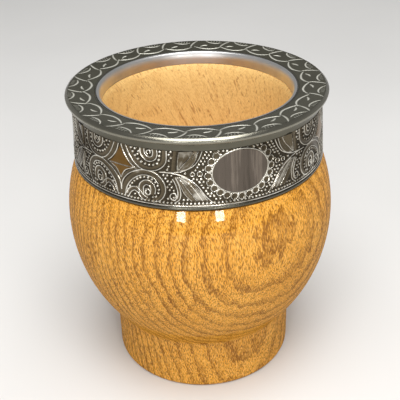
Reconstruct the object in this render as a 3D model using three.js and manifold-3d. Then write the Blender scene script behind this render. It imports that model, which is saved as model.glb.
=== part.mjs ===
// A turned wooden mate cup with a chased nickel-silver ferrule.
// Millimetres, +Z up. The origin is the centre of the foot, on the table.
// The middle of the front medallion faces -Y, and the seam of the band faces +Y.
import * as THREE from "three";
import { mergeVertices } from "three/addons/utils/BufferGeometryUtils.js";
import Module from "manifold-3d";

const wasm = await Module();
wasm.setup();

// Fineness of the round shapes
const TURN_STEPS = 60;
const ROUND_ERROR = 0.05;
const CURVE_STEPS = 8;

// Clearance left between two pieces that touch on the real cup
const JOINT_GAP = 0.12;

// Wooden cup, outside
const BELLY_RADIUS = 44.9;
const FOOT_INSET = 13.6;
const SHOULDER_INSET = 3.9;
const FOOT_HEIGHT = 19.3;
const BELLY_LOWER_HEIGHT = 37;
const BELLY_UPPER_HEIGHT = 20.7;
const FOOT_EDGE_ROUND = 1.2;
const FOOT_RING_WIDTH = 8.5;
const BASE_RECESS_DEPTH = 1.2;
const CREASE_ROUND = 3.5;
const NECK_EDGE_CHAMFER = 0.8;

// Wooden cup, inside
const FLOOR_THICKNESS = 19.8;
const FLOOR_ROUND = 14;
const BORE_TAPER = 1.6;
const BORE_EDGE_EASE = 1.2;
const BORE_EDGE_DROP = 2;

// Band of the ferrule, a strip of sheet bent round and closed by a soldered seam
const BAND_HEIGHT = 17.3;
const BAND_DRAW_IN = 1;
const BAND_THICKNESS = 0.9;
const SEAM_WIDTH = 0.8;
const LOWER_WIRE_HEIGHT = 1.4;
const LOWER_WIRE_PROUD = 0.2;

// Raised ornament on the band: medallions and stars take turns round it
const HALF_REPEATS = 7;
const ORNAMENT_MIDDLE = 10.3;
const ORNAMENT_RAISE = 0.3;
const MEDALLION_WIDTH = 17.2;
const MEDALLION_HEIGHT = 13.4;
const STAR_REACH_SIDE = 4.2;
const STAR_REACH_UP = 5.3;
const STAR_REACH_DOWN = 5.6;
const STAR_WAIST = 0.3;

// Rim of the ferrule
const RIM_OVERHANG = 2;
const RIM_WIDTH = 11.3;
const RIM_WIRE_DEPTH = 1;
const RIM_WIRE_HEIGHT = 2;
const RIM_PLATE_THICKNESS = 1;
const RIM_DISH = 0.7;
const SKIRT_HEIGHT = 3.4;
const SKIRT_THICKNESS = 0.9;

// Collar that lines the mouth
const COLLAR_THICKNESS = 0.9;
const COLLAR_DEPTH = 4.2;
const COLLAR_LIP_WIDTH = 1.8;
const MOUTH_ROUND = 1.6;

// Glue that holds the ferrule on the wood
const GLUE_THICKNESS = 0.4;

// Radii, all from the widest one
const footRadius = BELLY_RADIUS - FOOT_INSET;
const recessRadius = footRadius - FOOT_RING_WIDTH;
const bandBottomRadius = BELLY_RADIUS - SHOULDER_INSET;
const bandTopRadius = bandBottomRadius - BAND_DRAW_IN;
const rimRadius = bandTopRadius + RIM_OVERHANG;
const plateOuter = rimRadius - RIM_WIRE_DEPTH - JOINT_GAP;
const mouthRadius = rimRadius - RIM_WIDTH;
const collarOuter = mouthRadius + COLLAR_THICKNESS;
const collarLipOuter = mouthRadius + COLLAR_LIP_WIDTH;
const plateInner = collarLipOuter + JOINT_GAP;
const woodToBand = BAND_THICKNESS + GLUE_THICKNESS + 2 * JOINT_GAP;

// Heights of the cup above the table
const bellyHeight = FOOT_HEIGHT + BELLY_LOWER_HEIGHT;
const shoulderHeight = bellyHeight + BELLY_UPPER_HEIGHT;
const floorHeight = BASE_RECESS_DEPTH + FLOOR_THICKNESS;

// Heights of the ferrule above the shoulder of the cup
const lowerWireBottom = JOINT_GAP;
const lowerWireTop = lowerWireBottom + LOWER_WIRE_HEIGHT;
const bandBottom = lowerWireTop + JOINT_GAP;
const bandTop = bandBottom + BAND_HEIGHT;
const skirtBottom = bandTop + JOINT_GAP;
const skirtTop = skirtBottom + SKIRT_HEIGHT;
const plateOuterBottom = skirtTop + JOINT_GAP;
const plateOuterTop = plateOuterBottom + RIM_PLATE_THICKNESS;
const plateInnerTop = plateOuterTop - RIM_DISH;
const plateInnerBottom = plateInnerTop - RIM_PLATE_THICKNESS;
const rimGlueTop = plateInnerBottom - JOINT_GAP;
const rimGlueBottom = rimGlueTop - GLUE_THICKNESS;
const neckTop = rimGlueBottom - JOINT_GAP;
const collarBottom = plateInnerTop - COLLAR_DEPTH;

/** Radius of the wooden neck at a height above the shoulder, inside the band and its glue. */
function neckRadius(height) {
  const drawIn = (BAND_DRAW_IN * (height - bandBottom)) / BAND_HEIGHT;
  return bandBottomRadius - drawIn - woodToBand;
}

/** Points of a circular arc in a profile, both ends included. Angles run from +r towards +z. */
function arc(centre, radius, from, to) {
  const widestStep = 2 * Math.acos(Math.max(0, 1 - ROUND_ERROR / radius));
  const steps = Math.max(2, Math.ceil(Math.abs(to - from) / widestStep));
  const points = [];
  for (let i = 0; i <= steps; i += 1) {
    const angle = from + ((to - from) * i) / steps;
    points.push([centre[0] + radius * Math.cos(angle), centre[1] + radius * Math.sin(angle)]);
  }
  return points;
}

/** Hollow curve that leaves one profile point upright and leans out to another, ends included. */
function cove(foot, head) {
  const curve = new THREE.QuadraticBezierCurve(
    new THREE.Vector2(...foot),
    new THREE.Vector2(foot[0], (foot[1] + head[1]) / 2),
    new THREE.Vector2(...head),
  );
  return curve.getPoints(CURVE_STEPS / 2).map((point) => [point.x, point.y]);
}

/** Turns a profile of [radius, height] points about Z. It runs anticlockwise round its material. */
function turned(profile) {
  const points = profile.map(([radius, height]) => new THREE.Vector2(radius, height));
  return new THREE.LatheGeometry(points, TURN_STEPS).rotateX(Math.PI / 2);
}

/** Turns a profile that closes on itself into a ring. */
function ring(profile) {
  return turned([...profile, profile[0]]);
}

/** A closed geometry as a solid that can be joined and cut. */
function solidOf(geometry) {
  const bare = geometry.clone();
  bare.deleteAttribute("normal");
  bare.deleteAttribute("uv");
  const merged = mergeVertices(bare);
  return new wasm.Manifold(
    new wasm.Mesh({
      numProp: 3,
      vertProperties: new Float32Array(merged.attributes.position.array),
      triVerts: new Uint32Array(merged.index.array),
    }),
  );
}

/** A joined or cut solid as a geometry. */
function geometryOf(solid) {
  const mesh = solid.getMesh();
  const geometry = new THREE.BufferGeometry();
  geometry.setAttribute("position", new THREE.BufferAttribute(mesh.vertProperties, mesh.numProp));
  geometry.setIndex(new THREE.BufferAttribute(mesh.triVerts, 1));
  geometry.computeVertexNormals();
  return geometry;
}

/** Arc of the belly from its widest place to where it has drawn in by `inset` at a height. */
function bellyArc(inset, height) {
  const rise = height - bellyHeight;
  const radius = (rise * rise + inset * inset) / (2 * inset);
  return { centre: [BELLY_RADIUS - radius, bellyHeight], radius, end: Math.asin(rise / radius) };
}

/** Rounded crease that the belly makes with the upright wall of the foot, then the lower belly. */
function creaseAndLowerBelly() {
  const belly = bellyArc(FOOT_INSET, FOOT_HEIGHT);
  const aside = footRadius + CREASE_ROUND - belly.centre[0];
  const reach = belly.radius + CREASE_ROUND;
  const drop = Math.sqrt(reach * reach - aside * aside);
  const meeting = Math.atan2(-drop, aside);
  const crease = [footRadius + CREASE_ROUND, bellyHeight - drop];
  return [
    ...arc(crease, CREASE_ROUND, Math.PI, Math.PI + meeting),
    ...arc(belly.centre, belly.radius, meeting, 0).slice(1),
  ];
}

/** Outside of the cup: foot, crease, belly, shoulder and neck, from the standing face to the top. */
function cupOutside() {
  const footEdge = [footRadius - FOOT_EDGE_ROUND, FOOT_EDGE_ROUND];
  const upperBelly = bellyArc(SHOULDER_INSET, shoulderHeight);
  const chamferFoot = neckTop - NECK_EDGE_CHAMFER;
  return [
    ...arc(footEdge, FOOT_EDGE_ROUND, -Math.PI / 2, 0),
    ...creaseAndLowerBelly(),
    ...arc(upperBelly.centre, upperBelly.radius, 0, upperBelly.end).slice(1),
    [neckRadius(0), shoulderHeight],
    [neckRadius(chamferFoot), shoulderHeight + chamferFoot],
    [neckRadius(neckTop) - NECK_EDGE_CHAMFER, shoulderHeight + neckTop],
  ];
}

/** Inside of the cup: seat of the collar, eased edge, bore and rounded floor, from the top down. */
function cupInside() {
  const seat = shoulderHeight + collarBottom - JOINT_GAP;
  const seatRadius = collarOuter + JOINT_GAP;
  const boreRadius = mouthRadius - BORE_EDGE_EASE;
  const roundCentre = [boreRadius - BORE_TAPER - FLOOR_ROUND, floorHeight + FLOOR_ROUND];
  return [
    [seatRadius, shoulderHeight + neckTop],
    [seatRadius, seat],
    [mouthRadius, seat],
    [boreRadius, seat - BORE_EDGE_DROP],
    ...arc(roundCentre, FLOOR_ROUND, 0, -Math.PI / 2),
    [0, floorHeight],
  ];
}

/** The cup and its foot, turned from one block of wood and hollowed a little underneath. */
function woodenCup() {
  return turned([
    [0, BASE_RECESS_DEPTH],
    [recessRadius - BASE_RECESS_DEPTH, BASE_RECESS_DEPTH],
    [recessRadius, 0],
    ...cupOutside(),
    ...cupInside(),
  ]);
}

/** Half-round wire that edges the bottom of the band and sits on the shoulder of the cup. */
function lowerEdgeWire() {
  const bow = LOWER_WIRE_HEIGHT / 2;
  const bowCentre = [bandBottomRadius + LOWER_WIRE_PROUD - bow, lowerWireBottom + bow];
  return ring([
    [bandBottomRadius - BAND_THICKNESS, lowerWireBottom],
    ...arc(bowCentre, bow, -Math.PI / 2, Math.PI / 2),
    [bandBottomRadius - BAND_THICKNESS, lowerWireTop],
  ]);
}

/** Ring as high as the band, from a depth under its outside to a height proud of it. */
function bandLayer(depth, proud) {
  return ring([
    [bandBottomRadius - depth, bandBottom],
    [bandBottomRadius + proud, bandBottom],
    [bandTopRadius + proud, bandTop],
    [bandTopRadius - depth, bandTop],
  ]);
}

/** Oval of the medallion. */
function medallionOutline() {
  const outline = new THREE.Shape();
  outline.absellipse(0, 0, MEDALLION_WIDTH / 2, MEDALLION_HEIGHT / 2, 0, 2 * Math.PI);
  return outline;
}

/** Four-pointed star with hollow sides. */
function starOutline() {
  const waistSide = STAR_REACH_SIDE * STAR_WAIST;
  const waistUp = STAR_REACH_UP * STAR_WAIST;
  const waistDown = STAR_REACH_DOWN * STAR_WAIST;
  const outline = new THREE.Shape();
  outline.moveTo(STAR_REACH_SIDE, 0);
  outline.quadraticCurveTo(waistSide, waistUp, 0, STAR_REACH_UP);
  outline.quadraticCurveTo(-waistSide, waistUp, -STAR_REACH_SIDE, 0);
  outline.quadraticCurveTo(-waistSide, -waistDown, 0, -STAR_REACH_DOWN);
  outline.quadraticCurveTo(waistSide, -waistDown, STAR_REACH_SIDE, 0);
  return outline;
}

/** Prism that goes straight out through the band from an outline, turned to its place round it. */
function stamp(outline, angle) {
  const start = bandTopRadius - BAND_THICKNESS;
  const depth = bandBottomRadius + BAND_THICKNESS + ORNAMENT_RAISE - start;
  const prism = new THREE.ExtrudeGeometry(outline, {
    depth,
    bevelEnabled: false,
    curveSegments: CURVE_STEPS,
  });
  prism.translate(0, 0, start).rotateX(Math.PI / 2);
  return prism.translate(0, 0, bandBottom + ORNAMENT_MIDDLE).rotateZ(angle);
}

/** Block that stands across the back of the band, as wide as asked. */
function seamBlock(width) {
  const block = new THREE.BoxGeometry(width, bandBottomRadius, 2 * BAND_HEIGHT);
  return solidOf(block.translate(0, bandBottomRadius, bandBottom + BAND_HEIGHT / 2));
}

/** The band: a strip with medallions and stars stamped proud of it, open at its seam. */
function ferruleBand() {
  const proudLayer = solidOf(bandLayer(BAND_THICKNESS / 2, ORNAMENT_RAISE));
  const farthest = Math.floor((HALF_REPEATS - 1) / 2);
  let band = solidOf(bandLayer(BAND_THICKNESS, 0));
  for (let place = -farthest; place <= farthest; place += 1) {
    const outline = place % 2 === 0 ? medallionOutline() : starOutline();
    const prism = solidOf(stamp(outline, (2 * Math.PI * place) / HALF_REPEATS));
    band = band.add(proudLayer.intersect(prism));
  }
  return geometryOf(band.subtract(seamBlock(SEAM_WIDTH)));
}

/** Solder that fills the seam of the band. */
function bandSeam() {
  const sheet = solidOf(bandLayer(BAND_THICKNESS, 0));
  return geometryOf(sheet.intersect(seamBlock(SEAM_WIDTH - 2 * JOINT_GAP)));
}

/** Plain skirt that flares out from the top of the band to the rim. */
function rimSkirt() {
  const outside = cove([bandTopRadius, skirtBottom], [plateOuter, skirtTop]);
  const inside = outside.map(([radius, height]) => [radius - SKIRT_THICKNESS, height]);
  return ring([...outside, ...inside.reverse()]);
}

/** Broad plate of the rim, dished a little towards the mouth. */
function rimPlate() {
  return ring([
    [plateInner, plateInnerBottom],
    [plateOuter, plateOuterBottom],
    [plateOuter, plateOuterTop],
    [plateInner, plateInnerTop],
  ]);
}

/** Half-round wire that edges the rim and covers the joint of plate and skirt. */
function rimEdgeWire() {
  const bow = arc([0, 0], 1, -Math.PI / 2, Math.PI / 2);
  return ring(
    bow.map(([out, up]) => [
      rimRadius - RIM_WIRE_DEPTH + out * RIM_WIRE_DEPTH,
      plateOuterTop + ((up - 1) * RIM_WIRE_HEIGHT) / 2,
    ]),
  );
}

/** Collar that lines the mouth, with a lip rolled out over the wood to meet the plate. */
function mouthCollar() {
  const rollCentre = [mouthRadius + MOUTH_ROUND, plateInnerTop - MOUTH_ROUND];
  return ring([
    [mouthRadius, collarBottom],
    [collarOuter, collarBottom],
    [collarOuter, plateInnerBottom],
    [collarLipOuter, plateInnerBottom],
    [collarLipOuter, plateInnerTop],
    ...arc(rollCentre, MOUTH_ROUND, Math.PI / 2, Math.PI),
  ]);
}

/** Sleeve of glue between the neck of the cup and the band. */
function neckGlue() {
  const outside = BAND_THICKNESS + JOINT_GAP;
  return bandLayer(outside + GLUE_THICKNESS, -outside);
}

/** Bed of glue between the top of the cup and the plate, thicker where the plate rises. */
function rimGlue() {
  const outer = neckRadius(neckTop) - NECK_EDGE_CHAMFER;
  const rise = (RIM_DISH * (outer - plateInner)) / (plateOuter - plateInner);
  return ring([
    [plateInner, rimGlueBottom],
    [outer, rimGlueBottom],
    [outer, rimGlueTop + rise],
    [plateInner, rimGlueTop],
  ]);
}

/** A named piece in its finish. */
function piece(name, geometry, finish) {
  const mesh = new THREE.Mesh(geometry, new THREE.MeshStandardMaterial(finish));
  mesh.name = name;
  return mesh;
}

const varnishedWood = { color: 0xc98a3c, roughness: 0.35, metalness: 0 };
const nickelSilver = { color: 0x8d8a80, roughness: 0.25, metalness: 1 };
const solder = { color: 0x9c9a94, roughness: 0.4, metalness: 1 };
const amberGlue = { color: 0xb9a06a, roughness: 0.6, metalness: 0 };

// The ferrule is built from the shoulder up, and the cup carries it there
const ferrule = new THREE.Group();
ferrule.position.z = shoulderHeight;
ferrule.add(
  piece("lower_edge_wire", lowerEdgeWire(), nickelSilver),
  piece("ferrule_band", ferruleBand(), nickelSilver),
  piece("band_seam", bandSeam(), solder),
  piece("rim_skirt", rimSkirt(), nickelSilver),
  piece("rim_edge_wire", rimEdgeWire(), nickelSilver),
  piece("rim_plate", rimPlate(), nickelSilver),
  piece("mouth_collar", mouthCollar(), nickelSilver),
  piece("neck_glue", neckGlue(), amberGlue),
  piece("rim_glue", rimGlue(), amberGlue),
);

const mateCup = new THREE.Group();
mateCup.add(piece("wooden_cup", woodenCup(), varnishedWood), ferrule);

export default mateCup;
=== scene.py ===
"""Looks of a turned wooden mate cup with a chased nickel-silver ferrule, in the frame of its CAD model."""

import logging
import math
from abc import ABC, abstractmethod
from dataclasses import dataclass, field
from enum import Enum
from typing import Callable, Sequence

import bpy
import numpy as np
from mathutils import Matrix, Vector


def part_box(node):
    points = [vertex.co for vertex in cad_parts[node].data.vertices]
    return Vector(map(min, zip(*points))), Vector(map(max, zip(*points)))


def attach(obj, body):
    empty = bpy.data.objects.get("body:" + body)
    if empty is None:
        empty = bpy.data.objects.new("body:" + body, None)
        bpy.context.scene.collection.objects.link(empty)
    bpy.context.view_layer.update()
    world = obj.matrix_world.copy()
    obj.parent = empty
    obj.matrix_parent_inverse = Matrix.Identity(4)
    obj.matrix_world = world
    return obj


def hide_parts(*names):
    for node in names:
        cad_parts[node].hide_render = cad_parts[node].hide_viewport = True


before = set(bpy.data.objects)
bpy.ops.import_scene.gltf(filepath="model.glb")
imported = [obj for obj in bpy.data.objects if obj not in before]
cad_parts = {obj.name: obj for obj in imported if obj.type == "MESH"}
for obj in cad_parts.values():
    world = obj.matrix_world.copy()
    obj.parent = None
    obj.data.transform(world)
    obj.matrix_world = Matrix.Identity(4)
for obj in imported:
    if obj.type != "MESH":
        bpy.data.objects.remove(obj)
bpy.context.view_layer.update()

LOG = logging.getLogger("mate_cup")
BODY = "root"

MM = 0.001
WELD = 2e-6
TINY = 1e-12
GAP = 0.12 * MM
TURN_STEPS = 240
TURN_SECTORS = 8
ELLIPSE_STEPS = 720
VOLUTE_STEPS = 28
PLAIN_SMOOTHING = 35.0
RELIEF_SMOOTHING = 60.0

Point = tuple[float, float]
Colour = tuple[float, float, float]
Window = tuple[slice, slice]
Piece = bpy.types.Object
Face = bpy.types.MeshPolygon
Socket = bpy.types.NodeSocket


class Slot(Enum):
    """Material slots of the record."""

    WOOD = "varnished_wood"
    METAL = "nickel_silver"
    SOLDER = "solder"


class Motif(Enum):
    """What stands in the middle of a length of the band."""

    STAR = "star"
    MEDALLION = "medallion"


@dataclass(frozen=True)
class Extent:
    """Outer radius, bottom and top of a turned CAD node, in metres."""

    radius: float
    bottom: float
    top: float

    @classmethod
    def of(cls, node: str) -> "Extent":
        """Reads the extent of a CAD node from the frame."""
        low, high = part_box(node)
        return cls(high.x, low.z, high.z)


def arc(centre: Point, radius: float, start: float, end: float, step: float = 4.0) -> list[Point]:
    """Points of a circular arc in a profile.

    Args:
        centre: Radius and height of the arc's centre.
        radius: Radius of the arc.
        start: First angle in radians, from outwards towards up.
        end: Last angle in radians.
        step: Largest angle between two points, in degrees.

    Returns:
        The points, both ends included.
    """
    count = max(2, math.ceil(abs(end - start) / math.radians(step)))
    angles = (start + (end - start) * i / count for i in range(count + 1))
    return [(centre[0] + radius * math.cos(a), centre[1] + radius * math.sin(a)) for a in angles]


def bow(start: Point, pull: Point, end: Point, steps: int = 14) -> list[Point]:
    """Points of a bowed line in a profile.

    Args:
        start: First point.
        pull: Point that both ends head for.
        end: Last point.
        steps: Number of straight steps.

    Returns:
        The points, both ends included.
    """
    shares = [step / steps for step in range(steps + 1)]
    weights = [((1 - t) ** 2, 2 * t * (1 - t), t**2) for t in shares]
    return [tuple(a * p + b * q + c * r for p, q, r in zip(start, pull, end)) for a, b, c in weights]


def spline(points: Sequence[Point], steps: int = 10) -> np.ndarray:
    """Smooth curve that passes through a few points.

    Args:
        points: The points that the curve passes through, at least two.
        steps: Number of straight steps between two of them.

    Returns:
        The points of the curve, one row each.
    """
    knots = np.asarray(points, float)
    ends = np.vstack([2 * knots[0] - knots[1], knots, 2 * knots[-1] - knots[-2]])
    t = np.linspace(0, 1, steps, endpoint=False)[:, None]
    legs = []
    for a, b, c, d in zip(ends, ends[1:], ends[2:], ends[3:]):
        bend = (2 * a - 5 * b + 4 * c - d) * t**2 + (3 * b - a - 3 * c + d) * t**3
        legs.append(0.5 * (2 * b + (c - a) * t + bend))
    return np.vstack([*legs, knots[-1:]])


def spiral(centre: Point, radii: Point, start: float, turns: float) -> np.ndarray:
    """Volute that winds about a centre.

    Args:
        centre: Middle of the volute.
        radii: Radius at the first and at the last point.
        start: Angle of the first point, in degrees.
        turns: Number of turns, negative for clockwise.

    Returns:
        The points of the volute, one row each.
    """
    share = np.linspace(0, 1, int(abs(turns) * VOLUTE_STEPS))
    angle = math.radians(start) + 2 * math.pi * turns * share
    radius = radii[0] + (radii[1] - radii[0]) * share
    return np.stack([centre[0] + radius * np.cos(angle), centre[1] + radius * np.sin(angle)], 1)


def walked(line: np.ndarray) -> np.ndarray:
    """Distance from the start of a line to each of its points."""
    return np.concatenate([[0], np.hypot(*np.diff(line, axis=0).T).cumsum()])


def places_on(line: np.ndarray, distances: np.ndarray) -> np.ndarray:
    """Places on a line at given distances from its start, one row each."""
    return np.stack([np.interp(distances, walked(line), line[:, axis]) for axis in (0, 1)], 1)


def ellipse(centre: Point, half_axes: Point, count: int) -> np.ndarray:
    """Points at even steps round an ellipse, without the first point again.

    Args:
        centre: Middle of the ellipse.
        half_axes: Half its width and half its height.
        count: Number of points.

    Returns:
        The points, one row each.
    """
    fine = np.linspace(0, 2 * math.pi, ELLIPSE_STEPS + 1)
    line = np.stack([half_axes[0] * np.sin(fine), -half_axes[1] * np.cos(fine)], 1)
    return places_on(line, np.linspace(0, walked(line)[-1], count, endpoint=False)) + centre


def along_line(line: np.ndarray, spacing: float) -> np.ndarray:
    """Points at even steps along a line.

    Args:
        line: Points of the line, one row each.
        spacing: Distance between two points.

    Returns:
        The spaced points, one row each.
    """
    length = walked(line)[-1]
    return places_on(line, np.linspace(0, length, max(2, round(length / spacing) + 1)))


def beside(line: np.ndarray, distance: float) -> np.ndarray:
    """Line that runs beside another.

    Args:
        line: Points of the line, one row each.
        distance: How far to the left the other line runs.

    Returns:
        The points of the other line, one row each.
    """
    run = np.gradient(line, axis=0)
    run /= np.hypot(*run.T)[:, None]
    return line + distance * np.stack([-run[:, 1], run[:, 0]], 1)


def dome(gap: np.ndarray) -> np.ndarray:
    """Round-topped rise: 1 in the middle, and 0 from a gap of 1 on."""
    return np.sqrt(np.clip(1 - gap**2, 0, 1))


@dataclass
class ChasedSheet:
    """Drawing of chased work on a flat sheet, in millimetres, before the sheet is bent round.

    Heights are measured from the outside of the plain sheet. Polish, partly painted highlight, brushing and
    tarnish run from 0 to 1.
    """

    along: np.ndarray
    across: np.ndarray
    ground: float
    height: np.ndarray = field(init=False)
    polish_and_highlight: np.ndarray = field(init=False)
    brushed: np.ndarray = field(init=False)
    tarnish: np.ndarray = field(init=False)
    rubbed_share: float = 0.5
    strap_edge: float = 0.15
    strap_hollow: float = 0.35
    cut_taper: float = 0.14
    cut_glint: float = 2.0
    # Bright share on a bead's top: scoured metal and painted highlight.
    bead_polish_and_highlight: float = 0.95
    pit_rise: float = 0.04
    pit_polish: float = 0.3
    bare_rise: float = 0.03
    bare_share: float = 0.75
    grain_row: float = 0.8
    grain_stray: float = 0.05
    grain_sizes: Point = (0.85, 1.05)

    def __post_init__(self) -> None:
        """Starts with bare ground all over."""
        shape = (len(self.along), len(self.across))
        self.height = np.full(shape, self.ground)
        self.polish_and_highlight, self.brushed, self.tarnish = (np.zeros(shape) for _ in range(3))

    def window(self, low: Sequence[float], high: Sequence[float]) -> Window:
        """Finds the part of the drawing between two corners.

        Args:
            low: Lower corner, along and across.
            high: Upper corner.

        Returns:
            Its columns and rows.
        """
        columns = np.searchsorted(self.along, (low[0], high[0]))
        rows = np.searchsorted(self.across, (low[1], high[1]))
        return slice(*columns), slice(*rows)

    def points(self, window: Window) -> tuple[np.ndarray, np.ndarray]:
        """Places along and across of the points in a window."""
        return self.along[window[0], None], self.across[None, window[1]]

    def round_about(self, centre: Sequence[float], radius: float) -> tuple[Window, np.ndarray]:
        """Distance from a place, for the points round it.

        Args:
            centre: The place, along and across.
            radius: How far round it to look.

        Returns:
            The window that holds the points, and the distance of each.
        """
        middle = np.asarray(centre, float)
        window = self.window(middle - radius, middle + radius)
        x, y = self.points(window)
        return window, np.hypot(x - middle[0], y - middle[1])

    def nearest(
        self, line: np.ndarray, reach: float, widths: np.ndarray | None = None
    ) -> tuple[Window, np.ndarray]:
        """Distance from a line, for the points round it.

        Args:
            line: Points of the line, one row each.
            reach: How far round the line to look.
            widths: Half the width of the line at each of its points, to count the distance in.

        Returns:
            The window that holds the points, and the distance of each.
        """
        window = self.window(line.min(0) - reach, line.max(0) + reach)
        x, y = self.points(window)
        best = np.full((x.shape[0], y.shape[1]), np.inf)
        units = np.ones(len(line)) if widths is None else widths
        for (ax, ay), (bx, by), first, last in zip(line, line[1:], units, units[1:]):
            dx, dy = bx - ax, by - ay
            share = np.clip(((x - ax) * dx + (y - ay) * dy) / max(dx * dx + dy * dy, TINY), 0, 1)
            gap = np.hypot(x - ax - share * dx, y - ay - share * dy)
            best = np.minimum(best, gap / (first + share * (last - first)))
        return window, best

    def raise_to(self, window: Window, rise: np.ndarray, polish_and_highlight: np.ndarray) -> None:
        """Raises what lies lower in a window, and brightens what is duller, partly as painted highlight.

        Args:
            window: The window.
            rise: Height over the ground at each point.
            polish_and_highlight: Share of bright metal at each point.
        """
        self.height[window] = np.maximum(self.height[window], self.ground + rise)
        # The bright share lightens the colour: partly scoured metal, partly painted highlight on the relief.
        self.polish_and_highlight[window] = np.maximum(self.polish_and_highlight[window], polish_and_highlight)

    def ridge(self, line: np.ndarray, half_width: float, rise: float, polish_and_highlight: float = 1.0) -> None:
        """Raises a round-topped ridge along a line, and rubs the tarnish off it.

        Args:
            line: Points of the line, one row each.
            half_width: Half the width of the ridge.
            rise: Height of its top.
            polish_and_highlight: Share of bright metal on its top.
        """
        window, gap = self.nearest(line, half_width)
        crown = dome(gap / half_width)
        # Bright top of the ridge: scoured metal, partly painted highlight.
        self.raise_to(window, rise * crown, polish_and_highlight * crown)
        self.tarnish[window] *= np.clip(gap / half_width - self.rubbed_share, 0, 1)

    def strap(self, line: np.ndarray, half_width: float, rise: float, polish_and_highlight: float) -> None:
        """Raises a smooth strap along a line, hollowed down its middle and rounded at its edges.

        Args:
            line: Points of the line, one row each.
            half_width: Half the width of the strap.
            rise: Height of its sides.
            polish_and_highlight: Share of bright metal on it.
        """
        window, gap = self.nearest(line, half_width)
        crown = dome(1 - np.clip((half_width - gap) / self.strap_edge, 0, 1))
        hollow = self.strap_hollow + (1 - self.strap_hollow) * np.clip(gap / half_width, 0, 1) ** 2
        self.raise_to(window, rise * crown * hollow, polish_and_highlight * crown)

    def cut(self, line: np.ndarray, half_width: float, depth: float) -> None:
        """Cuts a bright groove along a line into what is there, finest at its ends.

        Its brightness is partly painted highlight.

        Args:
            line: Points of the line, one row each.
            half_width: Half the width of the groove in its middle.
            depth: Depth under the ground.
        """
        swell = np.sin(math.pi * np.linspace(self.cut_taper, 1 - self.cut_taper, len(line)))
        window, gap = self.nearest(line, half_width, half_width * swell)
        share = np.clip(1 - gap, 0, 1)
        self.height[window] = np.minimum(self.height[window], self.ground - depth * share)
        # Bright groove: freshly cut metal, partly painted highlight.
        self.polish_and_highlight[window] = np.maximum(self.polish_and_highlight[window], np.clip(self.cut_glint * share, 0, 1))

    def bead(self, centre: Sequence[float], radius: float, rise: float) -> None:
        """Raises a round bead.

        Args:
            centre: Its place, along and across.
            radius: Its radius.
            rise: Height of its top.
        """
        window, away = self.round_about(centre, radius)
        crown = dome(away / radius)
        self.raise_to(window, rise * crown, self.bead_polish_and_highlight * crown)

    def beads(self, line: np.ndarray, spacing: float, radius: float, rise: float) -> None:
        """Raises a row of beads along a line."""
        for centre in along_line(line, spacing):
            self.bead(centre, radius, rise)

    def eyelet(self, centre: Sequence[float], radius: float, wall: float, rise: float) -> None:
        """Raises a round ring with a hollow middle.

        Args:
            centre: Its place, along and across.
            radius: Its outer radius.
            wall: Half the width of the ring.
            rise: Height of the ring's top.
        """
        window, away = self.round_about(centre, radius)
        within = away < radius
        pit = np.where(within, self.pit_rise, -np.inf)
        self.raise_to(window, pit, np.where(within, self.pit_polish, 0))
        crown = dome(np.abs(away - (radius - wall)) / wall)
        self.raise_to(window, rise * crown, crown)

    def facet(
        self,
        outline: np.ndarray,
        rise: float,
        bevel: float,
        lean: Point = (0.0, 0.0),
        tarnish: float = 0.0,
        polish_and_highlight: float = 0.6,
    ) -> None:
        """Raises a smooth polished facet with a rounded edge.

        Args:
            outline: Corners of the facet, one row each.
            rise: Height of its middle over the ground.
            bevel: Width of its rounded edge.
            lean: Rise for each millimetre along and across, about its middle.
            tarnish: Share of amber tarnish on it.
            polish_and_highlight: Share of bright metal on it.
        """
        border = np.vstack([outline, outline[:1]])
        window, edge = self.nearest(border, bevel)
        x, y = self.points(window)
        inside = np.zeros(edge.shape, bool)
        for (ax, ay), (bx, by) in zip(border, border[1:]):
            if ay != by:
                inside ^= ((ay > y) != (by > y)) & (x < (bx - ax) * (y - ay) / (by - ay) + ax)
        share = np.where(inside, np.clip(edge / bevel, 0, 1), 0)
        middle = outline.mean(0)
        tilt = lean[0] * (x - middle[0]) + lean[1] * (y - middle[1])
        crown = dome(1 - share)
        self.raise_to(window, np.where(inside, (rise + tilt) * crown, 0), polish_and_highlight * crown)
        self.tarnish[window] = np.maximum(self.tarnish[window], tarnish * share)

    def is_bare(self, centre: Point, radius: float) -> bool:
        """Finds out whether nothing stands on the ground round a place.

        Args:
            centre: The place, along and across.
            radius: How far round it to look.

        Returns:
            True for bare ground.
        """
        window, _ = self.round_about(centre, radius)
        patch = self.height[window]
        return patch.size > 0 and float(patch.max()) < self.ground + self.bare_rise

    def grains(self, spacing: float, radius: float, rise: float, luck: np.random.Generator) -> None:
        """Covers bare ground with staggered rows of small beads.

        Args:
            spacing: Distance between two beads of a row.
            radius: Radius of a bead.
            rise: Height of a bead.
            luck: Source of the small unevenness of handwork.
        """
        levels = np.arange(self.across[0] + radius, self.across[-1], self.grain_row * spacing)
        for row, y in enumerate(levels):
            start = self.along[0] + (row % 2) * spacing / 2
            for x in np.arange(start, self.along[-1], spacing):
                place = (x + luck.normal(0, self.grain_stray), y + luck.normal(0, self.grain_stray))
                if self.is_bare(place, self.bare_share * radius):
                    self.bead(place, radius * luck.uniform(*self.grain_sizes), rise)

    def sample(self, values: np.ndarray, along: np.ndarray, across: np.ndarray) -> np.ndarray:
        """Reads the drawing at the points nearest to given places.

        Args:
            values: What to read, such as the height.
            along: Places along the sheet.
            across: Places across it.

        Returns:
            The value at each place.
        """
        columns = np.searchsorted((self.along[1:] + self.along[:-1]) / 2, along)
        rows = np.searchsorted((self.across[1:] + self.across[:-1]) / 2, across)
        return values[columns, rows]


def start_clean() -> None:
    """Leaves edit mode and leaves nothing selected."""
    if bpy.context.mode != "OBJECT":
        bpy.ops.object.mode_set(mode="OBJECT")
    bpy.ops.object.select_all(action="DESELECT")


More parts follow.
